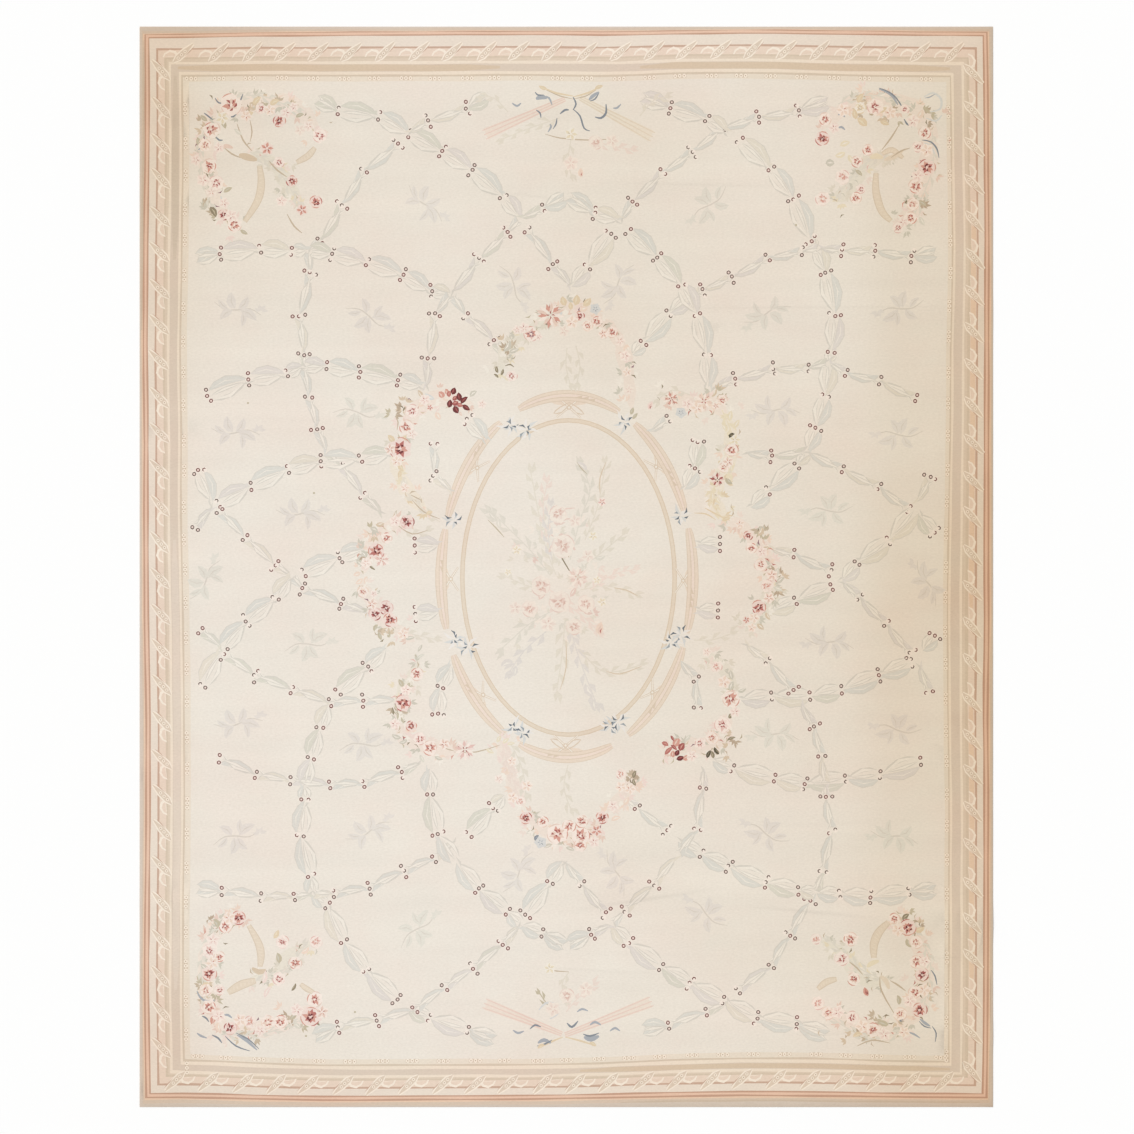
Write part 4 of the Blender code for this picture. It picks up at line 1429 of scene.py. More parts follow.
# Fans and touches for each one of a bed's count.
FANS = 1.3
TOUCH_SHARE = 0.55
BEDS = table(
    Bed,
    (26, 8, "leafy", ((500, 372), (508, 345), (531, 330), (551, 314))),
    (26, 8, "rosy", ((551, 318), (572, 305), (597, 318), (617, 338), (627, 368), (632, 412))),
    (18, 9, "rosy", ((474, 404), (440, 398), (415, 412), (400, 440))),
    (18, 9, "yellow", ((396, 440), (398, 470), (410, 495), (428, 513))),
    (20, 9, "rosy", ((412, 518), (384, 530), (370, 555), (362, 575))),
    (20, 9, "rosy", ((360, 580), (375, 608), (392, 625), (415, 642))),
    (20, 9, "leafy", ((420, 660), (404, 690), (396, 715))),
    (20, 9, "rosy", ((400, 722), (405, 738), (430, 748), (466, 749))),
    (24, 9, "peach", ((500, 740), (508, 765), (515, 785), (525, 808))),
    (30, 9, "rosy", ((528, 818), (555, 835), (580, 838), (603, 822))),
    (18, 8, "peach", ((606, 812), (625, 795), (634, 776))),
    (26, 9, "rosy", ((665, 750), (690, 745), (715, 745), (731, 715))),
    (18, 9, "leafy", ((731, 700), (728, 675), (707, 652))),
    (22, 9, "rosy", ((725, 515), (750, 535), (765, 555), (774, 585))),
    (16, 9, "leafy", ((774, 585), (762, 610), (745, 632))),
    (18, 9, "rosy", ((660, 398), (690, 403), (715, 405), (727, 420))),
    (26, 9, "yellow", ((729, 416), (731, 455), (720, 480), (712, 497), (726, 520))),
    (44, 10, "rosy", ((320, 130), (290, 104), (255, 104), (222, 108), (205, 140),
        (208, 175), (220, 208), (240, 228))),
    (18, 8, "leafy", ((250, 152), (275, 165), (290, 190), (305, 208))),
    (44, 10, "rosy", ((822, 130), (850, 104), (880, 100), (915, 108), (930, 140),
        (925, 175), (915, 205), (900, 228))),
    (18, 8, "leafy", ((890, 155), (865, 165), (850, 190), (830, 200))),
    (44, 10, "rosy", ((240, 915), (215, 930), (206, 965), (208, 1000),
        (225, 1030), (255, 1030), (290, 1022), (318, 1005))),
    (18, 8, "leafy", ((250, 978), (275, 975), (290, 955), (312, 942))),
    (44, 10, "rosy", ((895, 916), (915, 935), (925, 970), (918, 1005),
        (895, 1032), (860, 1025), (822, 1008))),
    (18, 8, "leafy", ((885, 982), (860, 978), (845, 955), (820, 940))),
    (6, 4, "dark", ((759, 526), (767, 540), (765, 556))),
    (6, 4, "dark", ((774, 566), (781, 582), (772, 598))),
    (5, 4, "dark", ((503, 342), (512, 350), (516, 356))),
    (5, 4, "dark", ((393, 414), (400, 409), (410, 405))),
    (5, 4, "dark", ((372, 528), (366, 545), (360, 560))),
    (4, 4, "dark", ((376, 626), (382, 636), (392, 640))),
    (5, 4, "dark", ((396, 708), (398, 716), (404, 724))),
    (5, 4, "dark", ((626, 784), (636, 776), (640, 770))),
    (4, 4, "dark", ((712, 392), (720, 396), (724, 404))),
    (5, 4, "dark", ((725, 752), (733, 742), (737, 732))),
    (6, 5, "dark", ((248, 116), (256, 104), (264, 100))),
    (5, 5, "dark", ((273, 104), (282, 102), (292, 108))),
    (6, 5, "dark", ((206, 122), (210, 130), (204, 140))),
    (5, 4, "dark", ((206, 206), (214, 212), (222, 222))),
    (6, 5, "dark", ((856, 98), (862, 108), (862, 122))),
    (5, 5, "dark", ((882, 112), (892, 118), (900, 114))),
    (5, 5, "dark", ((916, 112), (926, 116), (924, 126))),
    (5, 4, "dark", ((914, 200), (922, 206), (920, 216))),
    (5, 5, "dark", ((212, 920), (218, 926), (214, 936))),
    (6, 5, "dark", ((204, 980), (210, 990), (206, 1004))),
    (6, 5, "dark", ((286, 1014), (296, 1022), (308, 1026))),
    (5, 5, "dark", ((232, 1030), (246, 1036), (258, 1034))),
    (5, 5, "dark", ((904, 914), (914, 922), (922, 930))),
    (6, 5, "dark", ((876, 1018), (888, 1024), (896, 1020))),
    (5, 5, "dark", ((920, 980), (928, 990), (922, 1000))),
    (5, 5, "dark", ((846, 1030), (858, 1036), (870, 1036))),
    (60, 22, "faint", ((520, 560), (545, 530), (565, 550), (590, 580), (560, 620), (530, 605))),
)


def draw_ribbon(art, row):
    """A band with a darker edge, hatched across."""
    axis = curve(row.knots, 4)
    last = len(axis) - 1
    widths = [row.width * (0.6 + 0.4 * math.sin(math.pi * i / last)) for i in range(last + 1)]
    art.strip(axis, widths, "ribbon edge")
    art.strip(axis, [width - 1.8 for width in widths], "wreath tan")
    for i in range(1, last):
        place, step = between(axis[i - 1], axis[i + 1])
        half = 0.3 * widths[i]
        art.stroke(place.at(0.5 * step - 1, -half), place.at(0.5 * step + 1, half), 1.3, "wreath light")


def draw_touches(art, row, path):
    """Thin dark strokes and curls, which stand for the cut stems and edges of leaves."""
    for _ in range(round(TOUCH_SHARE * row.count)):
        i = int(art.dice.random() * (len(path) - 1))
        place, _ = between(path[i], path[i + 1])
        x, y = place.at(art.dice.uniform(-4, 4), art.dice.gauss(0, 0.7) * row.spread)
        touch = Place(x, y, art.dice.uniform(0, 360))
        half = art.dice.uniform(2.0, 4.2)
        lean = art.dice.choice((-0.2, 0.2))
        yarn = art.dice.choice(TOUCHES[row.wools])
        art.stroke(touch.at(-half, 0), touch.at(half, 0), art.dice.uniform(1.1, 1.7), yarn, lean)


def draw_bed(art, row):
    """A pale wash, and on it little fans of strokes, which open outwards from the path."""
    path = curve(row.knots, 4)
    art.next_lot()
    if row.wools in WASHES:
        last = len(path) - 1
        swells = [math.sin(math.pi * min(i, last - i, 3) / 6) for i in range(last + 1)]
        widths = [1.9 * row.spread * swell * art.dice.uniform(0.6, 1.1) for swell in swells]
        art.strip(path, widths, WASHES[row.wools])
    for _ in range(round(FANS * row.count)):
        i = int(art.dice.random() * (len(path) - 1))
        across = art.dice.gauss(0, 0.62) * row.spread
        place, _ = between(path[i], path[i + 1])
        x, y = place.at(art.dice.uniform(-4, 4), across)
        turn = math.degrees(math.atan2(y - path[i][1], path[i][0] - x)) + 180 + art.dice.uniform(-70, 70)
        art.next_lot()
        yarn = art.dice.choice(BED_WOOLS[row.wools])
        strokes = art.dice.choice((2, 3, 3, 4))
        for n in range(strokes):
            petal = Place(x, y, turn + 34 * (n - 0.5 * (strokes - 1)) + art.dice.uniform(-6, 6))
            length = art.dice.uniform(5, 9)
            art.stroke(petal.at(0.8, 0), petal.at(length, 0), art.dice.uniform(2.2, 3.2), yarn, 0.06)
    if row.wools in TOUCHES:
        draw_touches(art, row, path)


# Small flecks of darker wool in the field.
FLECKS = ((796, 225), (248, 403), (314, 493), (355, 1012), (306, 1036))


def draw_pattern(art):
    """The whole face, from the lowest shapes to the topmost."""
    draw_bands(art)
    draw_abrash(art)
    draw_windings(art)
    draw_dots(art)
    draw_medallion(art)
    for row in SPRIGS:
        draw_sprig(art, row)
    draw_garlands(art)
    for draw, rows in (
        (draw_bed, BEDS), (draw_bundle, BUNDLES), (draw_spray, SPRAYS), (draw_ribbon, RIBBONS),
    ):
        for row in rows:
            draw(art, row)
    for row in LINES:
        art.line(row.knots, row.width, row.yarn)
    for row in LEAVES:
        draw_leaf(art, row)
    for row in FLOWERS:
        art.next_lot()
        FORMS[row.form](art, row.x, row.y, row.radius, row.bloom)
    for x, y in FLECKS:
        art.disc(x, y, 1.2, "olive", 6)


def draw_back(art):
    """The underside shows the border and rings in the same wool, without the fine drawing."""
    draw_bands(art)
    ring_part(art, INNER_RING, 0, 360, 0, 5.0, "ring inner", 1.0, WHOLE_STEPS)
    ring_part(art, OUTER_RING, 0, 360, 0, 11.0, "ring tan", 1.0, WHOLE_STEPS)


# The plain grids' steps across and along the cloth, and their distance from its edge, in metres.
Steps = namedtuple("Steps", "across along")
FACE_GRID = Steps(0.120, 0.028)
BACK_GRID = Steps(0.160, 0.036)
GRID_MARGIN = 0.012

# Points closer than NEAR are one, and a run of edges is straight if it strays less than STRAIGHT.
NEAR = 1e-6
NEAR_DIGITS = 6
STRAIGHT = 0.00042
STRAIGHTENING_ROUNDS = 4

# A shape that covers this much more than its own area crosses itself, and is left out.
SPILL = 1.5
SPILL_AREA = 1e-7


def plain_grid(grid):
    """Points all over the cloth, for its ridges and its age to follow."""
    half_width = WIDTH / 2 - GRID_MARGIN
    half_length = LENGTH / 2 - GRID_MARGIN
    columns = int(2 * half_width / grid.across)
    rows = int(2 * half_length / grid.along)
    points = []
    for j in range(rows + 1):
        shift = 0.5 if j % 2 else 0.0
        for i in range(columns + 1):
            x = -half_width + 2 * half_width * (i + shift) / (columns + 0.5)
            points.append((x, -half_length + 2 * half_length * j / rows))
    return points


def areas(spots, triangles):
    """Each triangle's signed area."""
    a, b, c = (spots[triangles[:, i]] for i in range(3))
    return 0.5 * ((b - a)[:, 0] * (c - a)[:, 1] - (b - a)[:, 1] * (c - a)[:, 0])


def painted(art, rim):
    """All shapes cut along each other: points, triangles and the topmost colour of each."""
    points = list(rim)
    shapes = [list(range(len(rim)))]
    colours = [art.tint("overcast")]
    first = len(points)
    for x, y in art.points:
        points.append(((x - MID_X) * PIXEL, (MID_Y - y) * PIXEL))
    for corners, colour in zip(art.shapes, art.colours):
        shapes.append([first + corner for corner in corners])
        colours.append(colour)
    found = delaunay_2d_cdt(points, [], shapes, 1, NEAR, True)
    spots = np.array([tuple(spot) for spot in found[0]])
    triangles = np.array(found[2])
    sources = found[5]
    counts = np.array([len(source) for source in sources])
    flat = np.fromiter((n for source in sources for n in source), dtype=np.int64)
    covered = np.bincount(flat, np.repeat(np.abs(areas(spots, triangles)), counts), len(shapes))
    own = np.array([abs(signed_area([points[corner] for corner in shape])) for shape in shapes])
    spilt = set(np.flatnonzero(covered > SPILL * own + SPILL_AREA).tolist())
    top = [max(n for n in source if n not in spilt) for source in sources]
    return spots, triangles, np.array(colours)[top]


def colour_edges(triangles, paint):
    """The edges between triangles of unlike colours, as pairs of points."""
    sides = np.concatenate([triangles[:, [0, 1]], triangles[:, [1, 2]], triangles[:, [2, 0]]])
    owners = np.tile(np.arange(len(triangles)), 3)
    sides.sort(axis=1)
    order = np.lexsort((sides[:, 1], sides[:, 0]))
    sides = sides[order]
    owners = owners[order]
    twin = np.flatnonzero((sides[:-1] == sides[1:]).all(axis=1))
    unlike = (paint[owners[twin]] != paint[owners[twin + 1]]).any(axis=1)
    return sides[twin[unlike]]


def straightened(spots, edges):
    """The edges without the points that only split a straight run, as pairs of points."""
    beside = {}
    for a, b in edges.tolist():
        beside.setdefault(a, set()).add(b)
        beside.setdefault(b, set()).add(a)
    for _ in range(STRAIGHTENING_ROUNDS):
        held = set()
        for middle in sorted(beside):
            if middle in held or len(beside[middle]) != 2:
                continue
            a, b = beside[middle]
            run = spots[b] - spots[a]
            length = math.hypot(*run)
            away = spots[middle] - spots[a]
            if b in beside[a] or length < NEAR:
                continue
            if abs(run[0] * away[1] - run[1] * away[0]) > STRAIGHT * length:
                continue
            del beside[middle]
            beside[a].discard(middle)
            beside[b].discard(middle)
            beside[a].add(b)
            beside[b].add(a)
            held.update((a, b))
    return [(a, b) for a, row in beside.items() for b in row if a < b]


def plane_mesh(art, rim, grid):
    """The cartoon as triangles in metres, cut only where its colours meet and at a plain grid."""
    spots, triangles, paint = painted(art, rim)
    edges = straightened(spots, colour_edges(triangles, paint))
    used = sorted({end for edge in edges for end in edge})
    place = {old: len(rim) + new for new, old in enumerate(used)}
    points = [*rim, *(tuple(spots[old]) for old in used), *plain_grid(grid)]
    edges = [(place[a], place[b]) for a, b in edges]
    found = delaunay_2d_cdt(points, edges, [list(range(len(rim)))], 1, NEAR, True)
    new_spots = np.array([tuple(spot) for spot in found[0]])
    new_triangles = found[2]
    lookup = BVHTree.FromPolygons([(x, y, 0.0) for x, y in spots], triangles.tolist())
    middles = new_spots[np.array(new_triangles)].mean(axis=1)
    source = [lookup.find_nearest((x, y, 0.0))[2] for x, y in middles]
    return new_spots, new_triangles, paint[source]


def outline_loop(triangles):
    """The corners round the outside of the triangles, in order."""
    sides = {}
    for triangle in triangles:
        for a, b in zip(triangle, (*triangle[1:], triangle[0])):
            sides[(a, b)] = True
    step = {a: b for a, b in sides if (b, a) not in sides}
    start = min(step)
    loop = [start]
    while step[loop[-1]] != start:
        loop.append(step[loop[-1]])
    return loop


def lifts(x, y):
    """How high the cloth's underside is off the floor at each point."""
    height = np.zeros(len(x))
    for row in RIDGES:
        crest_x = row.end_x - row.start_x
        crest_y = row.end_y - row.start_y
        square = crest_x ** 2 + crest_y ** 2
        away_x = x - row.start_x
        away_y = y - row.start_y
        along = (away_x * crest_x + away_y * crest_y) / square
        across = np.hypot(away_x - crest_x * along, away_y - crest_y * along) / row.half_width
        on_ridge = (across < 1) & (along > 0) & (along < 1)
        swell = np.sin(np.pi * np.clip(along, 0, 1))
        bell = 0.5 + 0.5 * np.cos(np.pi * np.clip(across, 0, 1))
        height = np.maximum(height, np.where(on_ridge, row.height * swell * bell, 0.0))
    return height


# Slight unevenness all over, as waves: their lengths across and along the rug in metres, where
# they start in radians, and their height in metres.
Wave = namedtuple("Wave", "across along phase height")
WAVES = table(
    Wave,
    (1.90, 0.210, 0.3, 0.00010), (-2.60, 0.140, 1.9, 0.00007),
    (0.95, 0.330, 4.0, 0.00010), (0.42, 0.52, 2.2, 0.00006),
)


def unevenness(x, y):
    """How far the slight waves lift the cloth at each point."""
    height = np.zeros(len(x))
    for row in WAVES:
        height += row.height * (1 + np.sin(2 * np.pi * (x / row.across + y / row.along) + row.phase))
    return height


# The sum of the age's terms that stands for fully aged wool, and the most that any wool has.
FULL_AGE = 1.25
MOST_AGE = 1.3


def rise(value, start, run, most=1.0):
    """0 up to start and then 1 more for each run, to most. A run below 0 rises backwards."""
    return np.clip((value - start) / run, 0, most)


def hill(*shares):
    """1 in the middle, falling off softly all round."""
    return np.exp(-sum(share ** 2 for share in shares))


def ages(x, y):
    """How far age and dirt have darkened the wool at each point: most at the right and the head.

    Each term has its strength, and where it starts and how far it runs in pixels."""
    px = MID_X + x / PIXEL
    py = MID_Y - y / PIXEL
    right = 0.42 * rise(px, 490, 280, None) + 0.3 * rise(px, 860, 90, None) ** 2
    right = right * (0.8 + 0.3 * hill((py - 600) / 220))
    top = 0.2 * rise(py, 450, -120) * rise(px, 640, -150)
    head = 0.45 * hill((px - 150) / 120, (py - 110) / 190)
    edge = 0.12 * rise(px, 215, -30)
    foot = 0.2 * hill((px - 150) / 90, (py - 1080) / 110)
    bottom = 0.1 * rise(py, 1000, 100, None)
    inside = rise(py, 74, 30)
    field = 0.22 * hill((px - 630) / 110) * rise(py, 470, -140)
    field *= inside
    field += 0.24 * hill((px - 895) / 38) * inside
    field -= 0.16 * rise(px, 948, 16) + 0.14 * rise(py, 76, -20) * rise(px, 300, 100)
    return np.clip((right + top + head + edge + foot + bottom + field) / FULL_AGE, 0, MOST_AGE)


# How many points the outline has along each end and each side, corners included.
EDGE_COLUMNS = 41
EDGE_ROWS = 161


def edge_points():
    """The outline of the flat part of the face, inside the rounded edge."""
    half_width = WIDTH / 2 - EDGE_ROUND
    half_length = LENGTH / 2 - EDGE_ROUND
    across = np.linspace(-half_width, half_width, EDGE_COLUMNS)[:-1]
    along = np.linspace(-half_length, half_length, EDGE_ROWS)[:-1]
    rim = [(x, -half_length) for x in across]
    rim += [(half_width, y) for y in along]
    rim += [(-x, half_length) for x in across]
    rim += [(-half_width, -y) for y in along]
    return rim


# The rounded edge, from the face down to the underside: how far out, as a share of EDGE_ROUND,
# and how high, as a share of the thickness.
EdgeStep = namedtuple("EdgeStep", "out height")
EDGE_STEPS = table(EdgeStep, (0.72, 0.86), (1.0, 0.5), (0.72, 0.14))
FACE_SEED = 11
BACK_SEED = 12


def outwards(corner):
    """The way out from the flat face at each point of its outline."""
    edge_x = WIDTH / 2 - EDGE_ROUND
    edge_y = LENGTH / 2 - EDGE_ROUND
    return np.stack((
        np.where(np.abs(corner[:, 0]) > edge_x - NEAR, np.sign(corner[:, 0]), 0.0),
        np.where(np.abs(corner[:, 1]) > edge_y - NEAR, np.sign(corner[:, 1]), 0.0),
    ), axis=1)


def wall(rings):
    """The triangles that join each ring of points to the one below it."""
    faces = []
    for upper, lower in zip(rings, rings[1:]):
        for i in range(len(upper)):
            j = (i + 1) % len(upper)
            faces.append((upper[i], lower[i], lower[j]))
            faces.append((upper[i], lower[j], upper[j]))
    return faces


def store_wool(mesh, paint, age):
    """Keeps each triangle's colour and each point's age on the mesh, for the material."""
    paint = np.repeat(np.array(paint), 3, axis=0)
    paint = np.column_stack((paint, np.ones(len(paint))))
    yarn_layer = mesh.attributes.new("yarn", "FLOAT_COLOR", "CORNER")
    yarn_layer.data.foreach_set("color", paint.astype(np.float32).ravel())
    age_layer = mesh.attributes.new("age", "FLOAT", "POINT")
    age_layer.data.foreach_set("value", age.astype(np.float32))


def build_cloth():
    """The cloth as one closed sheet, with its wool's colour and its age stored on it."""
    rim = edge_points()
    face_art = Cartoon(FACE_SEED)
    draw_pattern(face_art)
    back_art = Cartoon(BACK_SEED)
    draw_back(back_art)
    face_spots, face_triangles, face_paint = plane_mesh(face_art, rim, FACE_GRID)
    back_spots, back_triangles, back_paint = plane_mesh(back_art, rim, BACK_GRID)
    face_loop = outline_loop(face_triangles)
    back_loop = outline_loop(back_triangles)
    order = {tuple(np.round(face_spots[i], NEAR_DIGITS)): n for n, i in enumerate(face_loop)}
    shift = order[tuple(np.round(back_spots[back_loop[0]], NEAR_DIGITS))]
    face_loop = face_loop[shift:] + face_loop[:shift]

    flat = [face_spots]
    share = [np.ones(len(face_spots))]
    faces = [tuple(triangle) for triangle in face_triangles]
    paint = [tuple(colour) for colour in face_paint]
    count = len(face_spots)
    rings = [list(face_loop)]
    corner = np.array([face_spots[i] for i in face_loop])
    for step in EDGE_STEPS:
        flat.append(corner + outwards(corner) * step.out * EDGE_ROUND)
        share.append(np.full(len(corner), step.height))
        rings.append(list(range(count, count + len(corner))))
        count += len(corner)
    flat.append(back_spots)
    share.append(np.zeros(len(back_spots)))
    rings.append([count + i for i in back_loop])
    edge = wall(rings)
    faces += edge
    paint += [face_art.tint("overcast")] * len(edge)
    faces += [tuple(count + i for i in triangle[::-1]) for triangle in back_triangles]
    paint += [tuple(colour) for colour in back_paint]

    flat = np.concatenate(flat)
    share = np.concatenate(share)
    x, y = flat[:, 0], flat[:, 1]
    height = lifts(x, y) + unevenness(x, y) + THICKNESS * share
    mesh = bpy.data.meshes.new("woven_rug")
    mesh.from_pydata(np.column_stack((x, y, height)).tolist(), [], faces)
    mesh.shade_smooth()

    store_wool(mesh, paint, ages(x, y))
    add_bake_map(mesh, len(back_triangles))
    mesh.update()
    print("woven_rug:", len(mesh.vertices), "points,", len(mesh.polygons), "triangles")
    rug = bpy.data.objects.new("woven_rug", mesh)
    bpy.context.scene.collection.objects.link(rug)
    return rug


# The bake map: the face takes the left part of the square, and the back, narrowed, the right.
BAKE_MARGIN = 0.01
BAKE_SCALE = 0.98 / LENGTH
BACK_START = 0.80
BACK_SPAN = 0.19


def add_bake_map(mesh, back_count):
    """Lays the cloth out flat for baking. The back's triangles come last in the mesh."""
    corners = np.empty(len(mesh.loops), dtype=np.int32)
    mesh.loops.foreach_get("vertex_index", corners)
    spots = np.empty(len(mesh.vertices) * 3, dtype=np.float32)
    mesh.vertices.foreach_get("co", spots)
    spots = spots.reshape(-1, 3)[corners]
    u = BAKE_MARGIN + (spots[:, 0] + WIDTH / 2) * BAKE_SCALE
    v = BAKE_MARGIN + (spots[:, 1] + LENGTH / 2) * BAKE_SCALE
    back = np.arange(len(corners)) >= len(corners) - 3 * back_count
    u = np.where(back, BACK_START + (spots[:, 0] + WIDTH / 2) * BACK_SPAN / WIDTH, u)
    layer = mesh.uv_layers.new(name="OFBake")
    layer.data.foreach_set("uv", np.column_stack((u, v)).astype(np.float32).ravel())


# Painted shade along creases in the face: each crease from start to end, with half its width in pixels,
# and the share of the wool's tone that its painted shade takes.
Crease = namedtuple("Crease", "x y end_x end_y half_width soil")
CREASES = table(
    Crease,
    (555, 913, 728, 887, 3.0, 0.085), (735, 905, 888, 919, 3.0, 0.085),
    (570, 309, 990, 306, 2.0, 0.046), (775, 1035, 965, 1031, 2.0, 0.055),
    (928, 958, 967, 957, 1.4, 0.080), (160, 99, 440, 115, 2.4, 0.036), (455, 187, 617, 206, 2.4, 0.042),
    (575, 182, 838, 188, 2.4, 0.042), (440, 962, 722, 977, 2.4, 0.036),
    (150, 903, 350, 896, 2.2, 0.030), (640, 830, 980, 818, 2.4, 0.018),
    (600, 1064, 800, 1050, 2.0, 0.022),
)

# The weave: ribs run along the rug over the warps, and the wefts cross them.
RIB_PITCH = 0.0027
WEFT_PITCH = 0.0013
RIB_STRENGTH = 0.35
RIB_DEPTH = 0.0005
BEAD_SHARE = 0.35
SLUB_SHARE = 0.8

# What the colour is multiplied by where the wool is fully aged, and where it has turned pinkish.
AGE_TINT = (0.831, 0.753, 0.630, 1.0)
PINK_TINT = (1.004, 0.968, 0.966, 1.0)
AGE_DRIFT = 0.35
WOOL_SHEEN = 0.08
SHEEN_ROUGHNESS = 0.5
WOOL_SHINE = 0.2

# The noises: how close they are across and along the rug, their detail and their roughness.
Grain = namedtuple("Grain", "across along detail roughness")
SLUBS = Grain(60.0, 420.0, 3.0, 0.6)
AGE_PATCHES = Grain(1.1, 1.7, 3.0, 0.55)
DYE_STREAKS = Grain(0.5, 11.0, 4.0, 0.6)
YARN_GRAIN = Grain(95.0, 150.0, 2.0, 0.6)
PINK_CLOUDS = Grain(2.1, 3.0, 5.0, 0.62)

# The slow blotches are alike both ways: how close they are, their detail and their roughness.
BLOTCHES = (5.0, 4.0, 0.6)

# A noise or wave from low to high gives values from first to last: the wool's tone, how pinkish
# it is, and its roughness.
Span = namedtuple("Span", "low high first last")
STREAK_TONE = Span(0.25, 0.75, 0.976, 1.024)
BLOTCH_TONE = Span(0.25, 0.75, 0.985, 1.015)
SLUB_TONE = Span(0.2, 0.8, 0.955, 1.045)
GRAIN_TONE = Span(0.25, 0.75, 0.956, 1.044)
# Painted shade: the wool darker in the grooves between the ribs and a little lighter on their crowns.
RIB_GROOVE_SHADE = Span(0.0, 1.0, 0.94, 1.03)
PINKISH = Span(0.42, 0.68, 0.0, 1.0)
WOOL_ROUGHNESS = Span(0.3, 0.7, 0.84, 0.94)

# A crease's painted shade, from its middle to its rim.
PAINTED_SHADE_FALL = Span(0.0, 1.0, 1.0, 0.0)


class Wiring:
    """Adds shader nodes to a material and joins them up."""

    def __init__(self, material):
        self.tree = material.node_tree

    def node(self, kind, inputs=(), **settings):
        """A node with its settings, and its inputs joined or set to a value."""
        made = self.tree.nodes.new(kind)
        for name, value in settings.items():
            setattr(made, name, value)
        for slot, value in inputs:
            if isinstance(value, bpy.types.NodeSocket):
                self.tree.links.new(value, made.inputs[slot])
            else:
                made.inputs[slot].default_value = value
        return made

    def maths(self, operation, first, second=0.0, third=0.0):
        """A sum on up to three numbers."""
        inputs = ((0, first), (1, second), (2, third))
        return self.node("ShaderNodeMath", inputs, operation=operation).outputs[0]

    def noise(self, vector, scale, detail, roughness):
        """A soft noise of 0 to 1."""
        inputs = (("Vector", vector), ("Scale", scale), ("Detail", detail), ("Roughness", roughness))
        return self.node("ShaderNodeTexNoise", inputs).outputs["Fac"]

    def grained(self, vector, grain):
        """A noise stretched across and along the rug."""
        made = self.node("ShaderNodeMapping", (("Vector", vector),))
        made.inputs["Scale"].default_value = (grain.across, grain.along, 1.0)
        return self.noise(made.outputs["Vector"], 1.0, grain.detail, grain.roughness)

    def ranged(self, value, span):
        """A value carried over from one range to another, and held within it."""
        inputs = zip(("Value", "From Min", "From Max", "To Min", "To Max"), (value, *span))
        return self.node("ShaderNodeMapRange", inputs).outputs["Result"]

    def toned(self, tone, value, span):
        """A tone times another that follows a value."""
        return self.maths("MULTIPLY", tone, self.ranged(value, span))

    def mixed(self, blend, factor, first, second):
        """Two colours blended by a factor."""
        made = self.node("ShaderNodeMix", (), data_type="RGBA", blend_type=blend)
        colours = [socket for socket in made.inputs if socket.type == "RGBA"]
        for socket, value in ((made.inputs[0], factor), (colours[0], first), (colours[1], second)):
            if isinstance(value, bpy.types.NodeSocket):
                self.tree.links.new(value, socket)
            else:
                socket.default_value = value
        return [socket for socket in made.outputs if socket.type == "RGBA"][0]

    def scaled(self, colour, factor):
        """The colour times a single number."""
        made = self.node("ShaderNodeVectorMath", ((0, colour),), operation="SCALE")
        self.tree.links.new(factor, made.inputs["Scale"])
        return made.outputs[0]


def painted_crease_shade(wiring, place, row):
    """How much of the wool's tone a crease's painted shade keeps, 1 away from it."""
    line, length = between((row.x, row.y), (row.end_x, row.end_y))
    x = ((row.x + row.end_x) / 2 - MID_X) * PIXEL
    y = (MID_Y - (row.y + row.end_y) / 2) * PIXEL
    frame_node = wiring.node("ShaderNodeMapping", (("Vector", place),), vector_type="TEXTURE")
    frame_node.inputs["Location"].default_value = (x, y, 0)
    frame_node.inputs["Rotation"].default_value = (0, 0, math.atan2(line.up, line.across))
    frame_node.inputs["Scale"].default_value = (0.5 * length * PIXEL, row.half_width * PIXEL, 1)
    parts = wiring.node("ShaderNodeSeparateXYZ", ((0, frame_node.outputs["Vector"]),))
    near = []
    for axis in ("X", "Y"):
        away = wiring.maths("ABSOLUTE", parts.outputs[axis])
        near.append(wiring.ranged(away, PAINTED_SHADE_FALL))
    lost = wiring.maths("MULTIPLY", wiring.maths("MULTIPLY", *near), row.soil)
    return wiring.maths("SUBTRACT", 1.0, lost)


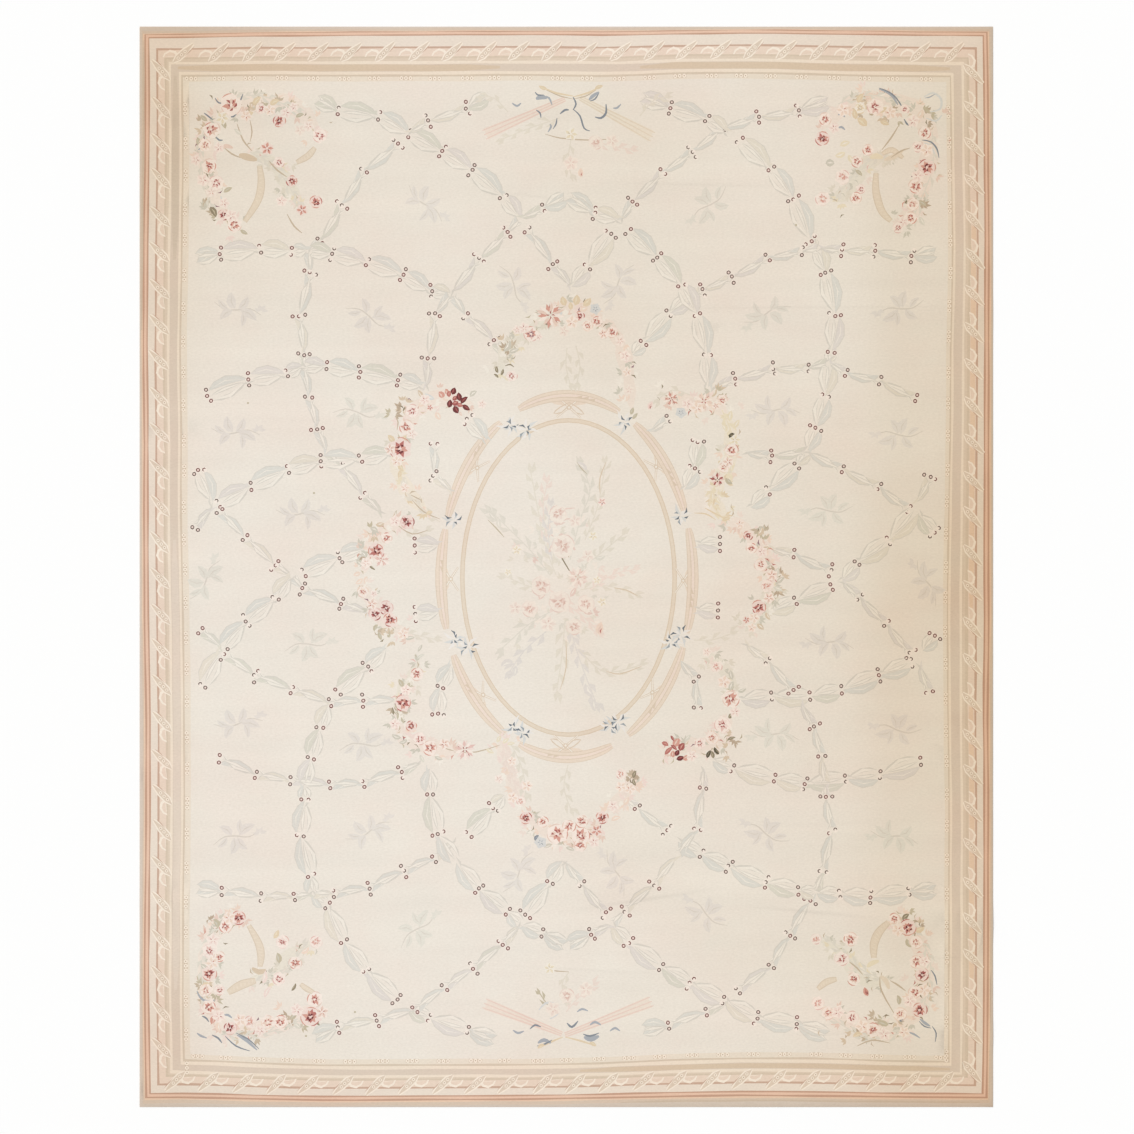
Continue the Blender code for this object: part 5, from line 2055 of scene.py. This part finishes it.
def wool_material():
    """Woven wool: the pattern's colours with ribs, streaks, blotches and age, with painted shade in the
    grooves between the ribs and painted shade along the creases.
    """
    material = bpy.data.materials.new("woven_wool_tapestry")
    material.use_nodes = True
    wiring = Wiring(material)
    shader = material.node_tree.nodes["Principled BSDF"]
    place = wiring.node("ShaderNodeTexCoord").outputs["Object"]
    axes = wiring.node("ShaderNodeSeparateXYZ", ((0, place),))
    yarn = wiring.node("ShaderNodeAttribute", (), attribute_name="yarn").outputs["Color"]
    age = wiring.node("ShaderNodeAttribute", (), attribute_name="age").outputs["Fac"]

    # The ribs, and the beads that the wefts make as they pass over each rib in turn.
    warp_wave = wiring.maths("SINE", wiring.maths("MULTIPLY", axes.outputs["X"], math.pi / RIB_PITCH))
    weft_wave = wiring.maths("SINE", wiring.maths("MULTIPLY", axes.outputs["Y"], math.pi / WEFT_PITCH))
    rib = wiring.maths("ABSOLUTE", warp_wave)
    bead = wiring.maths("MULTIPLY", warp_wave, weft_wave)
    weave = wiring.maths("MULTIPLY_ADD", bead, BEAD_SHARE, rib)
    slub = wiring.grained(place, SLUBS)
    height = wiring.maths("MULTIPLY_ADD", slub, SLUB_SHARE, weave)
    relief = (("Strength", RIB_STRENGTH), ("Distance", RIB_DEPTH), ("Height", height))
    bump = wiring.node("ShaderNodeBump", relief)

    # The wool's colour: age, streaks of dye lots, slow blotches, each yarn's own tone, painted shade in
    # the grooves between the ribs, and painted shade along the creases.
    drift = wiring.grained(place, AGE_PATCHES)
    aged = wiring.maths("MULTIPLY_ADD", wiring.maths("SUBTRACT", drift, 0.5), AGE_DRIFT, age)
    colour = wiring.mixed("MULTIPLY", wiring.maths("MAXIMUM", aged, 0.0), yarn, AGE_TINT)
    streaks = wiring.grained(place, DYE_STREAKS)
    blotches = wiring.noise(place, *BLOTCHES)
    tone = wiring.ranged(streaks, STREAK_TONE)
    tone = wiring.toned(tone, blotches, BLOTCH_TONE)
    tone = wiring.toned(tone, slub, SLUB_TONE)
    tone = wiring.toned(tone, wiring.grained(place, YARN_GRAIN), GRAIN_TONE)
    # Painted shade in the grooves between the ribs.
    tone = wiring.toned(tone, rib, RIB_GROOVE_SHADE)
    # Painted shade along each crease, darkest at its middle.
    for row in CREASES:
        tone = wiring.maths("MULTIPLY", tone, painted_crease_shade(wiring, place, row))
    pinkish = wiring.ranged(wiring.grained(place, PINK_CLOUDS), PINKISH)
    colour = wiring.mixed("MULTIPLY", pinkish, colour, PINK_TINT)
    colour = wiring.scaled(colour, tone)
    material.node_tree.links.new(colour, shader.inputs["Base Color"])
    roughness = wiring.ranged(blotches, WOOL_ROUGHNESS)
    material.node_tree.links.new(roughness, shader.inputs["Roughness"])
    material.node_tree.links.new(bump.outputs["Normal"], shader.inputs["Normal"])
    shader.inputs["Sheen Weight"].default_value = WOOL_SHEEN
    shader.inputs["Sheen Roughness"].default_value = SHEEN_ROUGHNESS
    shader.inputs["Specular IOR Level"].default_value = WOOL_SHINE
    return material


# The floor is white, matt and wider than any view of the rug. Lengths in metres.
FLOOR_COLOUR = (0.97, 0.97, 0.965, 1.0)
FLOOR_ROUGHNESS = 0.8
FLOOR_SHINE = 0.1
FLOOR_REACH = 30.0


def build_floor():
    """The floor that the rug lies on."""
    mesh = bpy.data.meshes.new("floor")
    corners = [(x * FLOOR_REACH, y * FLOOR_REACH, 0) for x, y in ((-1, -1), (1, -1), (1, 1), (-1, 1))]
    mesh.from_pydata(corners, [], [(0, 1, 2, 3)])
    floor = bpy.data.objects.new("floor", mesh)
    bpy.context.scene.collection.objects.link(floor)
    material = bpy.data.materials.new("floor")
    material.use_nodes = True
    shader = material.node_tree.nodes["Principled BSDF"]
    shader.inputs["Base Color"].default_value = FLOOR_COLOUR
    shader.inputs["Roughness"].default_value = FLOOR_ROUGHNESS
    shader.inputs["Specular IOR Level"].default_value = FLOOR_SHINE
    mesh.materials.append(material)
    return floor


# The sky's and the soft light's strengths, and the light's spread and tilts in degrees.
SKY_COLOUR = (1.0, 1.0, 1.0, 1.0)
SKY_STRENGTH = 0.55
LIGHT_STRENGTH = 1.85
LIGHT_SPREAD = 25
LIGHT_TILTS = (-22, -30, 0)


def build_lights():
    """An even white sky, and one broad soft light from the upper left."""
    world = bpy.data.worlds.new("studio")
    bpy.context.scene.world = world
    world.use_nodes = True
    sky = world.node_tree.nodes["Background"]
    sky.inputs["Color"].default_value = SKY_COLOUR
    sky.inputs["Strength"].default_value = SKY_STRENGTH
    light = bpy.data.lights.new("soft_light", "SUN")
    light.energy = LIGHT_STRENGTH
    light.angle = math.radians(LIGHT_SPREAD)
    lamp = bpy.data.objects.new("soft_light", light)
    lamp.rotation_euler = [math.radians(tilt) for tilt in LIGHT_TILTS]
    bpy.context.scene.collection.objects.link(lamp)


# The camera hangs straight above the middle of the photograph, which its view covers at the
# height of the rug's face. Its sensor is in millimetres, and the rest in metres.
CAMERA_HEIGHT = 9.0
VIEW_WIDTH = PHOTO_SIZE * PIXEL
SENSOR_WIDTH = 36.0
CLIP_START = 0.1
CLIP_END = 120.0


def build_camera():
    """The camera that takes the photograph's view."""
    camera = bpy.data.cameras.new("camera")
    camera.type = "PERSP"
    camera.sensor_width = SENSOR_WIDTH
    camera.lens = SENSOR_WIDTH * CAMERA_HEIGHT / VIEW_WIDTH
    camera.clip_start = CLIP_START
    camera.clip_end = CLIP_END
    holder = bpy.data.objects.new("camera", camera)
    x = (PHOTO_SIZE / 2 - MID_X) * PIXEL
    y = (MID_Y - PHOTO_SIZE / 2) * PIXEL
    holder.location = (x, y, CAMERA_HEIGHT + THICKNESS)
    bpy.context.scene.collection.objects.link(holder)
    bpy.context.scene.camera = holder


def main():
    rug = build_cloth()
    rug.data.materials.append(wool_material())
    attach(rug, "root")
    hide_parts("rug")
    floor = build_floor()
    build_lights()
    build_camera()
    bpy.context.scene.view_settings.view_transform = "Standard"


main()
